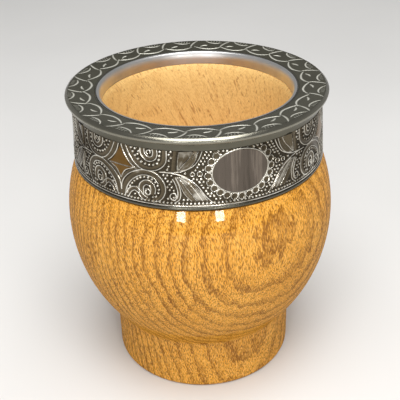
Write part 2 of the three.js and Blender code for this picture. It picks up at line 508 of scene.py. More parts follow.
def take_up(piece: Piece) -> None:
    """Makes one piece the selected and active one.

    Args:
        piece: The piece.
    """
    start_clean()
    piece.select_set(True)
    bpy.context.view_layer.objects.active = piece


def draw_profile(name: str, points: Sequence[Point], closed: bool) -> Piece:
    """Draws a profile in the XZ plane by extruding one vertex from point to point.

    Args:
        name: Name of the new piece.
        points: Radius and height of each point, in metres.
        closed: True if the last point joins the first.

    Returns:
        The piece, in edit mode.
    """
    start_clean()
    bpy.ops.mesh.primitive_plane_add(size=MM)
    piece = bpy.context.object
    piece.name = name
    piece.data.name = name
    bpy.ops.object.mode_set(mode="EDIT")
    bpy.ops.mesh.select_all(action="SELECT")
    bpy.ops.mesh.merge(type="CENTER")
    bpy.ops.transform.translate(value=(points[0][0], 0, points[0][1]))
    path = [*points, points[0]] if closed else list(points)
    for here, there in zip(path, path[1:]):
        step = (there[0] - here[0], 0, there[1] - here[1])
        bpy.ops.mesh.extrude_region_move(TRANSFORM_OT_translate={"value": step})
    return piece


def spin(piece: Piece, steps: int, turn: float = 2 * math.pi, sectors: int = 1) -> None:
    """Spins the profile in edit mode about Z, closes its ends and turns its faces outwards.

    Args:
        piece: The piece that holds the profile.
        steps: Number of steps in a sector.
        turn: Angle to spin through, in radians.
        sectors: Number of equal sectors in the turn. One is spun, and the others are its copies.
    """
    about = {"center": (0, 0, 0), "axis": (0, 0, 1)}
    bpy.ops.mesh.select_all(action="SELECT")
    bpy.ops.mesh.remove_doubles(threshold=WELD)
    bpy.ops.mesh.spin(steps=steps, angle=turn / sectors, **about)
    if sectors > 1:
        bpy.ops.mesh.select_all(action="SELECT")
        bpy.ops.mesh.spin(steps=sectors - 1, angle=turn * (sectors - 1) / sectors, dupli=True, **about)
    bpy.ops.mesh.select_all(action="SELECT")
    bpy.ops.mesh.remove_doubles(threshold=WELD)
    bpy.ops.mesh.select_all(action="SELECT")
    bpy.ops.mesh.fill_holes(sides=0)
    bpy.ops.mesh.select_all(action="SELECT")
    bpy.ops.mesh.normals_make_consistent(inside=False)
    bpy.ops.object.mode_set(mode="OBJECT")
    LOG.info("%s: %d faces", piece.name, len(piece.data.polygons))


def turned(name: str, points: Sequence[Point], closed: bool = True) -> Piece:
    """Turns a profile once round the axis.

    Args:
        name: Name of the new piece.
        points: Radius and height of each point, in metres.
        closed: True for a ring, and False for a profile that starts and ends on the axis.

    Returns:
        The piece.
    """
    piece = draw_profile(name, points, closed)
    spin(piece, TURN_STEPS // TURN_SECTORS, sectors=TURN_SECTORS)
    return piece


def corners(piece: Piece) -> np.ndarray:
    """Reads the places of a piece's vertices.

    Args:
        piece: The piece.

    Returns:
        The places, one row each.
    """
    values = np.empty(3 * len(piece.data.vertices), np.float32)
    piece.data.vertices.foreach_get("co", values)
    return values.reshape(-1, 3).astype(float)


def move_corners(piece: Piece, places: np.ndarray) -> None:
    """Puts a piece's vertices at new places."""
    piece.data.vertices.foreach_set("co", places.astype(np.float32).ravel())
    piece.data.update()


def from_axis(places: np.ndarray) -> np.ndarray:
    """Distance of each place from the axis of the cup."""
    return np.hypot(places[:, 0], places[:, 1])


def from_front(places: np.ndarray) -> np.ndarray:
    """Angle of each place from the front of the cup, in radians."""
    return np.arctan2(places[:, 0], -places[:, 1])


def pushed_out(places: np.ndarray, rise: np.ndarray) -> np.ndarray:
    """Moves places away from the axis of the cup.

    Args:
        places: The places, one row each.
        rise: How far each one moves.

    Returns:
        The new places.
    """
    moved = places.copy()
    moved[:, :2] *= (1 + rise / from_axis(places))[:, None]
    return moved


def turn_round(piece: Piece, angle: float) -> None:
    """Turns a piece about the axis of the cup, with its new place in its mesh.

    Args:
        piece: The piece.
        angle: Angle to turn by, in radians.
    """
    take_up(piece)
    piece.rotation_euler.z = angle
    bpy.ops.object.transform_apply(location=False, rotation=True, scale=False)


def mark(piece: Piece, name: str, values: np.ndarray) -> None:
    """Stores a value for each vertex, for the finish to read."""
    piece.data.attributes.new(name, "FLOAT", "POINT").data.foreach_set("value", values.astype(np.float32))


def dress(piece: Piece, finish: "Finish", smooth_to: float = PLAIN_SMOOTHING) -> None:
    """Gives a piece its finish and smooth shading.

    Args:
        piece: The piece.
        finish: Its finish.
        smooth_to: Edges that turn by more than this many degrees stay sharp.
    """
    take_up(piece)
    bpy.ops.object.shade_smooth_by_angle(angle=math.radians(smooth_to))
    piece.data.materials.clear()
    piece.data.materials.append(finish.material())


def dress_faces(piece: Piece, finish: "Finish", chosen: Callable[[float, Face], bool]) -> None:
    """Gives some faces of a dressed piece a second finish.

    Args:
        piece: The piece.
        finish: The second finish.
        chosen: Tells from a face's distance from the axis and the face whether it is one of them.
    """
    piece.data.materials.append(finish.material())
    for face in piece.data.polygons:
        away = math.hypot(face.center.x, face.center.y)
        face.material_index = int(chosen(away, face))


def settle(piece: Piece, node: str) -> None:
    """Lets a piece ride on the cup's body and stand for a CAD node.

    Args:
        piece: The piece.
        node: Name of the CAD node.
    """
    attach(piece, BODY)
    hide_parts(node)
    LOG.info("%s stands for %s", piece.name, node)


@dataclass(frozen=True)
class Grain:
    """Soft noise: waves for each unit along the three axes, amount of fine detail, roughness and shift."""

    waves: Sequence[float]
    detail: float = 2.0
    rough: float = 0.5
    shift: Sequence[float] = (0, 0, 0)


class NodeSheet:
    """Material under construction, with short ways to add nodes to it."""

    def __init__(self, name: str) -> None:
        """Starts a material with a principled shader.

        Args:
            name: Name of the material.
        """
        self.material = bpy.data.materials.new(name)
        self.material.use_nodes = True
        self.tree = self.material.node_tree
        self.shader = self.tree.nodes["Principled BSDF"]
        self.place = self.add("ShaderNodeTexCoord").outputs["Object"]

    def add(self, kind: str, **settings: object) -> bpy.types.Node:
        """Adds a node.

        Args:
            kind: Type of the node.
            settings: Its properties.

        Returns:
            The node.
        """
        node = self.tree.nodes.new(kind)
        for name, value in settings.items():
            setattr(node, name, value)
        return node

    def join(self, source: Socket, target: Socket) -> None:
        """Links two sockets."""
        self.tree.links.new(source, target)

    def set(self, **values: object) -> None:
        """Sets inputs of the shader that are the same all over. Words in a name are joined by _."""
        for name, value in values.items():
            self.shader.inputs[name.replace("_", " ")].default_value = value

    def feed(self, name: str, source: Socket) -> None:
        """Links a socket to an input of the shader."""
        self.join(source, self.shader.inputs[name])

    def mapped(
        self,
        scale: Sequence[float],
        turn: Sequence[float] = (0, 0, 0),
        shift: Sequence[float] = (0, 0, 0),
        source: Socket | None = None,
    ) -> Socket:
        """Scales, then turns, then shifts coordinates.

        Args:
            scale: Scale along each axis.
            turn: Turn about each axis, in radians.
            shift: Shift along each axis.
            source: Coordinates to start from, if not those of the object.

        Returns:
            The new coordinates.
        """
        node = self.add("ShaderNodeMapping")
        self.join(source or self.place, node.inputs["Vector"])
        node.inputs["Scale"].default_value = scale
        node.inputs["Rotation"].default_value = turn
        node.inputs["Location"].default_value = shift
        return node.outputs["Vector"]

    def noise(self, grain: Grain, source: Socket | None = None, output: str = "Fac") -> Socket:
        """Adds soft noise between 0 and 1.

        Args:
            grain: Its waves and roughness.
            source: Coordinates that it lies in, if not those of the object.
            output: Fac for one value, or Color for three.

        Returns:
            The noise.
        """
        node = self.add("ShaderNodeTexNoise")
        self.join(self.mapped(grain.waves, shift=grain.shift, source=source), node.inputs["Vector"])
        node.inputs["Scale"].default_value = 1.0
        node.inputs["Detail"].default_value = grain.detail
        node.inputs["Roughness"].default_value = grain.rough
        return node.outputs[output]

    def cells(self, place: Socket) -> tuple[Socket, Socket]:
        """Scatters points, about one to a unit of the coordinates.

        Args:
            place: The coordinates.

        Returns:
            The distance to the nearest point, and a random colour for each point.
        """
        node = self.add("ShaderNodeTexVoronoi")
        self.join(place, node.inputs["Vector"])
        node.inputs["Scale"].default_value = 1.0
        return node.outputs["Distance"], node.outputs["Color"]

    def reckon(self, operation: str, first: Socket | float, second: Socket | float) -> Socket:
        """Works out a mathematical operation on two values.

        Args:
            operation: Name of the operation.
            first: First value.
            second: Second value.

        Returns:
            The result.
        """
        node = self.add("ShaderNodeMath", operation=operation)
        for value, target in zip((first, second), node.inputs):
            if isinstance(value, (int, float)):
                target.default_value = value
            else:
                self.join(value, target)
        return node.outputs["Value"]

    def carry(self, value: Socket, span: Point, to: Point) -> Socket:
        """Carries a value from one span to another, and holds it inside that.

        Args:
            value: The value.
            span: The two ends that the value runs between.
            to: What each end becomes.

        Returns:
            The new value.
        """
        node = self.add("ShaderNodeMapRange")
        self.join(value, node.inputs["Value"])
        for name, number in zip(("From Min", "From Max", "To Min", "To Max"), (*span, *to)):
            node.inputs[name].default_value = number
        return node.outputs["Result"]

    def ramp(self, value: Socket, places: Sequence[float], colours: Sequence[Colour]) -> Socket:
        """Colours a value by stops.

        Args:
            value: The value.
            places: The value at each stop, in rising order.
            colours: The colour at each stop.

        Returns:
            The colour.
        """
        node = self.add("ShaderNodeValToRGB")
        bar = node.color_ramp.elements
        while len(bar) < len(places):
            bar.new(0.5)
        for element, place, colour in zip(bar, places, colours):
            element.position = place
            element.color = (*colour, 1)
        self.join(value, node.inputs["Fac"])
        return node.outputs["Color"]

    def mix(
        self, share: Socket | float, first: Socket | Colour, second: Socket | Colour, blend: str = "MIX"
    ) -> Socket:
        """Mixes two colours.

        Args:
            share: Share of the second colour.
            first: First colour.
            second: Second colour.
            blend: How the second goes over the first.

        Returns:
            The mix.
        """
        node = self.add("ShaderNodeMix", data_type="RGBA", blend_type=blend)
        for value, target in zip((share, first, second), (node.inputs[0], node.inputs[6], node.inputs[7])):
            if isinstance(value, bpy.types.NodeSocket):
                self.join(value, target)
            else:
                target.default_value = (*value, 1) if isinstance(value, tuple) else value
        return node.outputs[2]

    def glaze(self, under: Socket, over: Colour, amount: Socket, share: float) -> Socket:
        """Lays a colour over another, by a share of an amount."""
        return self.mix(self.reckon("MULTIPLY", amount, share), under, over)

    def stored(self, name: str) -> Socket:
        """Value that the piece stores at its vertices."""
        return self.add("ShaderNodeAttribute", attribute_name=name).outputs["Fac"]

    def bump(self, height: Socket, depth: float, strength: float) -> None:
        """Bumps the surface, over the bumps that it has.

        Args:
            height: Height between 0 and 1.
            depth: What a height of 1 stands for, in metres.
            strength: Share of the bump that shows.
        """
        node = self.add("ShaderNodeBump")
        node.inputs["Distance"].default_value = depth
        node.inputs["Strength"].default_value = strength
        self.join(height, node.inputs["Height"])
        before = self.shader.inputs["Normal"].links
        if before:
            self.join(before[0].from_socket, node.inputs["Normal"])
        self.feed("Normal", node.outputs["Normal"])


@dataclass(frozen=True)
class Finish(ABC):
    """Finish of a surface."""

    name: str

    @abstractmethod
    def compose(self, sheet: NodeSheet) -> None:
        """Adds the finish's nodes to a new material."""

    def material(self) -> bpy.types.Material:
        """Gives the finish's material, made when it is first asked for.

        Returns:
            The material.
        """
        if self.name not in bpy.data.materials:
            self.compose(NodeSheet(self.name))
        return bpy.data.materials[self.name]


def fibres(width: float, length: float) -> Grain:
    """Noise of dashes that are as wide and as long as given."""
    return Grain((1 / width, 1 / width, 1 / length), detail=1.0)


@dataclass(frozen=True)
class TurnedWood(Finish):
    """Side-grained wood with growth rings, flecks and open pores, varnished or bare.

    Lengths are in millimetres, angles in degrees, and the waves of a grain are for a millimetre.
    """

    light: Colour = (0.99, 0.52, 0.112)
    middle: Colour = (0.77, 0.333, 0.032)
    dark: Colour = (0.19, 0.058, 0.004)
    pore: Colour = (0.15, 0.05, 0.008)
    fleck_share: float = 0.8
    ring_share: float = 0.66
    cloud_share: float = 0.5
    streak_share: float = 0.0
    pore_share: float = 0.55
    varnished: bool = True
    roughness: float = 0.45
    hollow_roughness: float = 0.2
    hollow_depth: float = 0.04
    fleck_depth: float = 0.4
    ring_facing: float = 13.0
    ring_tilt: float = 8.0
    fibre_lean: float = 0.0
    bends: Grain = Grain((0.04, 0.04, 0.04), detail=1.5)
    bend_reach: float = 3.5
    pith_depth: float = 200.0
    ring_spacing: float = 2.5
    strays: Grain = Grain((0.5, 0.5, 0.125))
    ring_stray: float = 1.1
    early_peak: float = 0.06
    early_end: float = 0.48
    clearings: Grain = Grain((0.12, 0.12, 0.05), detail=1.0, shift=(7, 3, 1))
    faintest_ring: float = 0.55
    fleck_width: float = 0.23
    fleck_length: float = 1.4
    fleck_gather: Point = (-0.035, 0.065)
    patches: Grain = Grain((0.2, 0.2, 0.1), detail=1.0)
    fleck_patch: float = 0.025
    fleck_levels: Point = (0.475, 0.59)
    pore_width: float = 0.5
    pore_length: float = 2.4
    poreless: float = 0.5
    pore_reach: float = 0.4
    pore_edge: float = 0.08
    streak_width: float = 0.55
    streak_length: float = 14.0
    streak_levels: Point = (0.6, 0.7)
    breaks: Grain = Grain((0.3, 0.3, 0.8))
    break_levels: Point = (0.3, 0.5)
    shades: Grain = Grain((3.0, 3.0, 1.0), detail=1.0)
    clouds: Grain = Grain((0.07, 0.07, 0.035), detail=3.0)
    cloud_levels: Point = (0.35, 0.7)
    even_levels: Point = (0.35, 0.65)
    tool_marks: Grain = Grain((30, 30, 1600))

    def grown(self, sheet: NodeSheet) -> Socket:
        """Bends the coordinates as the tree grew.

        Args:
            sheet: The material under construction.

        Returns:
            Coordinates in millimetres: x away from the pith, and z along the fibres.
        """
        facing = Matrix.Rotation(math.radians(90 - self.ring_facing), 3, "Z")
        tilt = Matrix.Rotation(math.radians(self.ring_tilt), 3, "Y")
        lean = Matrix.Rotation(math.radians(self.fibre_lean), 3, "X")
        straight = sheet.mapped((1 / MM,) * 3, turn=(lean @ tilt @ facing).to_euler("XYZ"))
        waves = sheet.noise(self.bends, straight, "Color")
        reach = self.bend_reach
        aside = sheet.mapped((reach,) * 3, shift=(-reach / 2,) * 3, source=waves)
        bent = sheet.add("ShaderNodeVectorMath", operation="ADD")
        sheet.join(straight, bent.inputs[0])
        sheet.join(aside, bent.inputs[1])
        return bent.outputs["Vector"]

    def rings(self, sheet: NodeSheet, grown: Socket) -> Socket:
        """Lays the growth rings about the pith.

        Args:
            sheet: The material under construction.
            grown: Coordinates in the grown wood.

        Returns:
            Nearness to the early wood of a year's growth, from 0 to 1.
        """
        flat = sheet.mapped((1, 1, 0), shift=(self.pith_depth, 0, 0), source=grown)
        length = sheet.add("ShaderNodeVectorMath", operation="LENGTH")
        sheet.join(flat, length.inputs[0])
        stray = sheet.carry(sheet.noise(self.strays, grown), (0, 1), (-self.ring_stray, self.ring_stray))
        depth = sheet.reckon("ADD", length.outputs["Value"], stray)
        year = sheet.reckon("FRACT", sheet.reckon("DIVIDE", depth, self.ring_spacing), 0.0)
        rising = sheet.carry(year, (0, self.early_peak), (0, 1))
        fading = sheet.carry(year, (self.early_peak, self.early_end), (1, 0))
        early = sheet.reckon("MULTIPLY", fading, rising)
        clear = sheet.noise(self.clearings, grown)
        return sheet.reckon("MULTIPLY", early, sheet.carry(clear, self.even_levels, (self.faintest_ring, 1)))

    def flecks(self, sheet: NodeSheet, grown: Socket, early: Socket) -> Socket:
        """Scatters short dark dashes along the fibres, thickest in early wood.

        Args:
            sheet: The material under construction.
            grown: Coordinates in the grown wood.
            early: Nearness to early wood.

        Returns:
            Share of fleck at each place.
        """
        dashes = sheet.noise(fibres(self.fleck_width, self.fleck_length), grown)
        level = sheet.reckon("ADD", dashes, sheet.carry(early, (0, 1), self.fleck_gather))
        patchy = sheet.noise(self.patches, grown)
        uneven = sheet.carry(patchy, self.even_levels, (-self.fleck_patch, self.fleck_patch))
        return sheet.carry(sheet.reckon("ADD", level, uneven), self.fleck_levels, (0, 1))

    def streaks(self, sheet: NodeSheet, grown: Socket) -> Socket:
        """Draws long dark streaks along the fibres, broken up here and there.

        Args:
            sheet: The material under construction.
            grown: Coordinates in the grown wood.

        Returns:
            Share of streak at each place.
        """
        lines = sheet.noise(fibres(self.streak_width, self.streak_length), grown)
        breaks = sheet.noise(self.breaks, grown)
        whole = sheet.carry(breaks, self.break_levels, (0, 1))
        return sheet.reckon("MULTIPLY", sheet.carry(lines, self.streak_levels, (0, 1)), whole)

    def pores(self, sheet: NodeSheet, grown: Socket) -> Socket:
        """Opens a few longer, darker pores.

        Args:
            sheet: The material under construction.
            grown: Coordinates in the grown wood.

        Returns:
            Share of pore at each place.
        """
        waves = fibres(self.pore_width, self.pore_length).waves
        gap, chance = sheet.cells(sheet.mapped(waves, source=grown))
        size = sheet.add("ShaderNodeSeparateColor")
        sheet.join(chance, size.inputs["Color"])
        reach = sheet.carry(size.outputs["Red"], (self.poreless, 1), (0, self.pore_reach))
        return sheet.carry(sheet.reckon("SUBTRACT", gap, reach), (-self.pore_edge, 0), (1, 0))

    def compose(self, sheet: NodeSheet) -> None:
        """Adds the wood's colour, pores, sheen and varnish.

        Args:
            sheet: The material under construction.
        """
        grown = self.grown(sheet)
        early = self.rings(sheet, grown)
        flecks = self.flecks(sheet, grown, early)
        pores = self.pores(sheet, grown)
        shade = sheet.carry(sheet.noise(self.shades, grown), self.even_levels, (0, 1))
        colour = sheet.glaze(sheet.mix(shade, self.light, self.middle), self.dark, early, self.ring_share)
        cloud = sheet.carry(sheet.noise(self.clouds, grown), self.cloud_levels, (0, self.cloud_share))
        colour = sheet.glaze(sheet.mix(cloud, colour, self.middle), self.dark, flecks, self.fleck_share)
        if self.streak_share:
            colour = sheet.glaze(colour, self.pore, self.streaks(sheet, grown), self.streak_share)
        sheet.feed("Base Color", sheet.glaze(colour, self.pore, pores, self.pore_share))
        hollow = sheet.reckon("MAXIMUM", pores, sheet.reckon("MULTIPLY", flecks, self.fleck_depth))
        rough = (self.roughness, self.roughness + self.hollow_roughness)
        sheet.feed("Roughness", sheet.carry(hollow, (0, 1), rough))
        sheet.bump(sheet.reckon("SUBTRACT", 1, hollow), depth=self.hollow_depth * MM, strength=0.4)
        if self.varnished:
            sheet.set(Coat_Weight=0.16, Coat_Roughness=0.04, Coat_IOR=2.2, Specular_IOR_Level=0.0)
        else:
            sheet.bump(sheet.noise(self.tool_marks), depth=0.03 * MM, strength=0.5)
            sheet.set(Specular_IOR_Level=0.3)


@dataclass(frozen=True)
class PolishedNickelSilver(Finish):
    """Plain polished nickel silver with smudges and fine scratches. Waves are for a metre."""

    # Default colours darkened below the metal's own: painted dark reflection, on the skirt, lower wire and
    # lip.
    bright: Colour = (0.145, 0.137, 0.107)
    dull: Colour = (0.098, 0.092, 0.07)
    roughness: float = 0.2
    smudges: Grain = Grain((70, 70, 70), detail=4.0, rough=0.6)
    colour_levels: Point = (0.3, 0.7)
    shine_levels: Point = (0.3, 0.75)
    smudge_roughness: Point = (0.1, -0.05)
    strokes: Grain = Grain((900, 900, 60), detail=3.0, rough=0.7)

    def compose(self, sheet: NodeSheet) -> None:
        """Adds the metal's colour, smudges and scratches.

        Args:
            sheet: The material under construction.
        """
        smudge = sheet.noise(self.smudges)
        sheet.feed("Base Color", sheet.ramp(smudge, self.colour_levels, (self.dull, self.bright)))
        rough = tuple(self.roughness + change for change in self.smudge_roughness)
        sheet.feed("Roughness", sheet.carry(smudge, self.shine_levels, rough))
        sheet.set(Metallic=1.0)
        sheet.bump(sheet.noise(self.strokes), depth=0.012 * MM, strength=0.35)


@dataclass(frozen=True)
class ChasedNickelSilver(Finish):
    """Nickel silver with chased relief: bright on the scoured lines and dark with patina in the ground.

    Its bright tops are partly painted highlight, and its dark straps and ground partly painted shade.
    Waves are for a metre.
    """

    patina: Colour = (0.060, 0.050, 0.034)
    body: Colour = (0.112, 0.091, 0.060)
    # Colour of the brightest relief: scoured metal, partly painted highlight.
    top: Colour = (0.80, 0.775, 0.70)
    relief_levels: Sequence[float] = (0.05, 0.42, 0.57, 0.97)
    smudges: Grain = Grain((260, 260, 260), detail=4.0, rough=0.6)
    smudge_levels: Point = (0.3, 0.7)
    # Shift of the bright share by the smudges: real rubbing, and painted sheen patches on the straps.
    wear_and_sheen: Point = (-0.18, 0.14)
    ageing: Grain = Grain((90, 90, 60))
    age_levels: Point = (0.36, 0.62)
    old: Colour = (0.62, 0.6, 0.57)
    fresh: Colour = (1.2, 1.2, 1.2)
    tarnish: Colour = (0.175, 0.095, 0.026)
    brushed: Colour = (0.125, 0.104, 0.086)
    brush_dim: float = 0.7
    brush_pale: float = 1.6
    brush_levels: Sequence[float] = (0.41, 0.49, 0.55, 0.62)
    strokes: Grain = Grain((1100, 1100, 9), detail=3.0, rough=0.6)
    bands: Grain = Grain((170, 170, 5), detail=1.0)
    worn_levels: Point = (0.0, 0.6)
    worn_roughness: Point = (0.5, 0.2)
    shine_levels: Point = (0.3, 0.8)
    smudge_roughness: Point = (-0.03, 0.08)

    def relief(self, sheet: NodeSheet, wear_and_highlight: Socket) -> Socket:
        """Colours the relief by how bright it is, partly painted highlight, with uneven age and amber
        tarnish.

        Args:
            sheet: The material under construction.
            wear_and_highlight: How far the metal is bright, from scouring and from painted highlight.

        Returns:
            The colour.
        """
        # Painted shade on the dark ground and straps, over real patina, and painted highlight on the bright
        # tops.
        tones = sheet.ramp(wear_and_highlight, self.relief_levels, (self.patina, self.body, self.body, self.top))
        age = sheet.ramp(sheet.noise(self.ageing), self.age_levels, (self.old, self.fresh))
        return sheet.mix(sheet.stored("tarnish"), sheet.mix(1.0, tones, age, "MULTIPLY"), self.tarnish)

    def panel(self, sheet: NodeSheet, strokes: Socket) -> Socket:
        """Colours the medallions by their upright brush marks.

        Args:
            sheet: The material under construction.
            strokes: The fine marks.

        Returns:
            The colour.
        """
        marks = sheet.reckon("ADD", strokes, sheet.noise(self.bands))
        dim = tuple(self.brush_dim * part for part in self.brushed)
        pale = tuple(self.brush_pale * part for part in self.brushed)
        shades = (dim, self.brushed, self.brushed, pale)
        return sheet.ramp(sheet.reckon("MULTIPLY", marks, 0.5), self.brush_levels, shades)

    def compose(self, sheet: NodeSheet) -> None:
        """Adds the metal's colour, shine, brush marks and smudges.

        Args:
            sheet: The material under construction.
        """
        smudge = sheet.noise(self.smudges)
        # Smudge shift of the bright share: rubbing, and painted sheen patches.
        rubbed_and_sheen = sheet.carry(smudge, self.smudge_levels, self.wear_and_sheen)
        # Bright share of the relief: real scouring plus painted highlight.
        wear_and_highlight = sheet.reckon("ADD", sheet.stored("polish_and_highlight"), rubbed_and_sheen)
        strokes = sheet.noise(self.strokes)
        inside = sheet.stored("brushed")
        sheet.feed("Base Color", sheet.mix(inside, self.relief(sheet, wear_and_highlight), self.panel(sheet, strokes)))
        shine = sheet.carry(wear_and_highlight, self.worn_levels, self.worn_roughness)
        dulled = sheet.carry(smudge, self.shine_levels, self.smudge_roughness)
        sheet.feed("Roughness", sheet.reckon("ADD", shine, dulled))
        sheet.set(Metallic=1.0)
        sheet.bump(sheet.reckon("MULTIPLY", strokes, inside), depth=0.02 * MM, strength=0.6)
        sheet.bump(smudge, depth=0.015 * MM, strength=0.4)


@dataclass(frozen=True)
class EngravedNickelSilver(Finish):
    """Polished nickel silver with bright engraved cuts, whose fine burr scatters light.

    The plain metal is darkened as painted dark reflection, and the cuts' light colour is partly painted
    highlight. Waves are for a metre.
    """

    # Plain metal darkened as painted dark reflection.
    plain: Colour = (0.155, 0.146, 0.092)
    dull: Colour = (0.110, 0.104, 0.066)
    # Light colour of the cuts: fresh metal, partly painted highlight.
    cut: Colour = (0.74, 0.73, 0.65)
    smudges: Grain = Grain((120, 120, 120), detail=4.0, rough=0.6)
    colour_levels: Point = (0.3, 0.7)
    shine_levels: Point = (0.3, 0.75)
    smudge_roughness: Point = (0.3, 0.2)
    burr_roughness: float = 0.2
    burr_metallic: float = 0.65
    scratches: Grain = Grain((500, 1300, 500), detail=3.0, rough=0.7)

    def compose(self, sheet: NodeSheet) -> None:
        """Adds the plain metal, its smudges and the cuts.

        Args:
            sheet: The material under construction.
        """
        smudge = sheet.noise(self.smudges)
        # Plain metal, darkened as painted dark reflection.
        metal = sheet.ramp(smudge, self.colour_levels, (self.dull, self.plain))
        # Bright share of the cuts: partly painted highlight.
        cuts = sheet.stored("polish_and_highlight")
        sheet.feed("Base Color", sheet.mix(cuts, metal, self.cut))
        shine = sheet.carry(smudge, self.shine_levels, self.smudge_roughness)
        burr = sheet.carry(cuts, (0, 1), (0, self.burr_roughness))
        sheet.feed("Roughness", sheet.reckon("ADD", shine, burr))
        sheet.feed("Metallic", sheet.carry(cuts, (0, 1), (1, self.burr_metallic)))
        sheet.bump(sheet.noise(self.scratches), depth=0.012 * MM, strength=0.3)


@dataclass(frozen=True)
class HardGlue(Finish):
    """Amber glue that has set hard in uneven drops. Waves are for a metre."""

    pale: Colour = (0.48, 0.35, 0.14)
    deep: Colour = (0.30, 0.19, 0.06)
    clouds: Grain = Grain((300, 300, 300), detail=3.0)
    cloud_levels: Point = (0.3, 0.7)

    def compose(self, sheet: NodeSheet) -> None:
        """Adds the glue's clouds and lumps.

        Args:
            sheet: The material under construction.
        """
        cloud = sheet.noise(self.clouds)
        sheet.feed("Base Color", sheet.ramp(cloud, self.cloud_levels, (self.deep, self.pale)))
        sheet.set(Roughness=0.6)
        sheet.bump(cloud, depth=0.1 * MM, strength=0.5)


@dataclass(frozen=True)
class PaleFloor(Finish):
    """Plain pale floor of the studio, which throws little light back on the cup. Waves are for a metre."""

    pale: Colour = (0.78, 0.77, 0.75)
    shade: Colour = (0.74, 0.73, 0.71)
    thrown_back: Colour = (0.36, 0.36, 0.35)
    clouds: Grain = Grain((6, 6, 6), detail=3.0)
    cloud_levels: Point = (0.3, 0.7)

    def compose(self, sheet: NodeSheet) -> None:
        """Adds the floor's faint clouds, seen directly, in gloss and through glass.

        Args:
            sheet: The material under construction.
        """
        clouded = sheet.ramp(sheet.noise(self.clouds), self.cloud_levels, (self.shade, self.pale))
        path = sheet.add("ShaderNodeLightPath").outputs
        mirrored = sheet.reckon("MAXIMUM", path["Is Glossy Ray"], path["Is Transmission Ray"])
        seen = sheet.reckon("MAXIMUM", path["Is Camera Ray"], mirrored)
        sheet.feed("Base Color", sheet.mix(seen, self.thrown_back, clouded))
        sheet.set(Roughness=0.8)


OUTER_WOOD = TurnedWood("wood_under_varnish")
INNER_WOOD = TurnedWood(
    "bare_wood_inside",
    light=(0.90, 0.615, 0.245),
    middle=(0.835, 0.55, 0.198),
    dark=(0.58, 0.29, 0.075),
    pore=(0.36, 0.13, 0.03),
    fleck_share=0.5,
    ring_share=0.24,
    early_end=0.65,
    fleck_width=0.33,
    fleck_length=1.25,
    fleck_gather=(-0.03, 0.05),
    fleck_levels=(0.46, 0.66),
    streak_share=0.62,
    streak_width=0.7,
    streak_length=30.0,
    fibre_lean=-24.0,
    pore_width=1.1,
    pore_length=2.6,
    poreless=0.75,
    pore_reach=0.24,
    varnished=False,
    roughness=0.62,
)
# Dark polished metal: painted dark reflection.
POLISHED_PAINTED_DARK = PolishedNickelSilver("polished_nickel_silver_painted_dark")
BRUSHED = PolishedNickelSilver(
    "brushed_nickel_silver",
    bright=(0.66, 0.655, 0.645),
    dull=(0.50, 0.495, 0.485),
    roughness=0.38,
    strokes=Grain((2500, 2500, 90), detail=3.0, rough=0.7),
)
# Lighter copy of the polished metal, so that the wire's highlight shows brighter: painted highlight.
EDGE_WIRE_PAINTED_HIGHLIGHT = PolishedNickelSilver(
    "edge_wire_nickel_silver_painted_highlight",
    bright=(0.30, 0.287, 0.235),
    dull=(0.22, 0.21, 0.168),
    roughness=0.22,
)
CHASED = ChasedNickelSilver("chased_nickel_silver")
ENGRAVED = EngravedNickelSilver("engraved_nickel_silver")
SOLDERED = PolishedNickelSilver(
    "silver_solder",
    bright=(0.36, 0.35, 0.32),
    dull=(0.2, 0.19, 0.17),
    roughness=0.34,
)
GLUED = HardGlue("hard_glue")
FLOORED = PaleFloor("pale_floor")


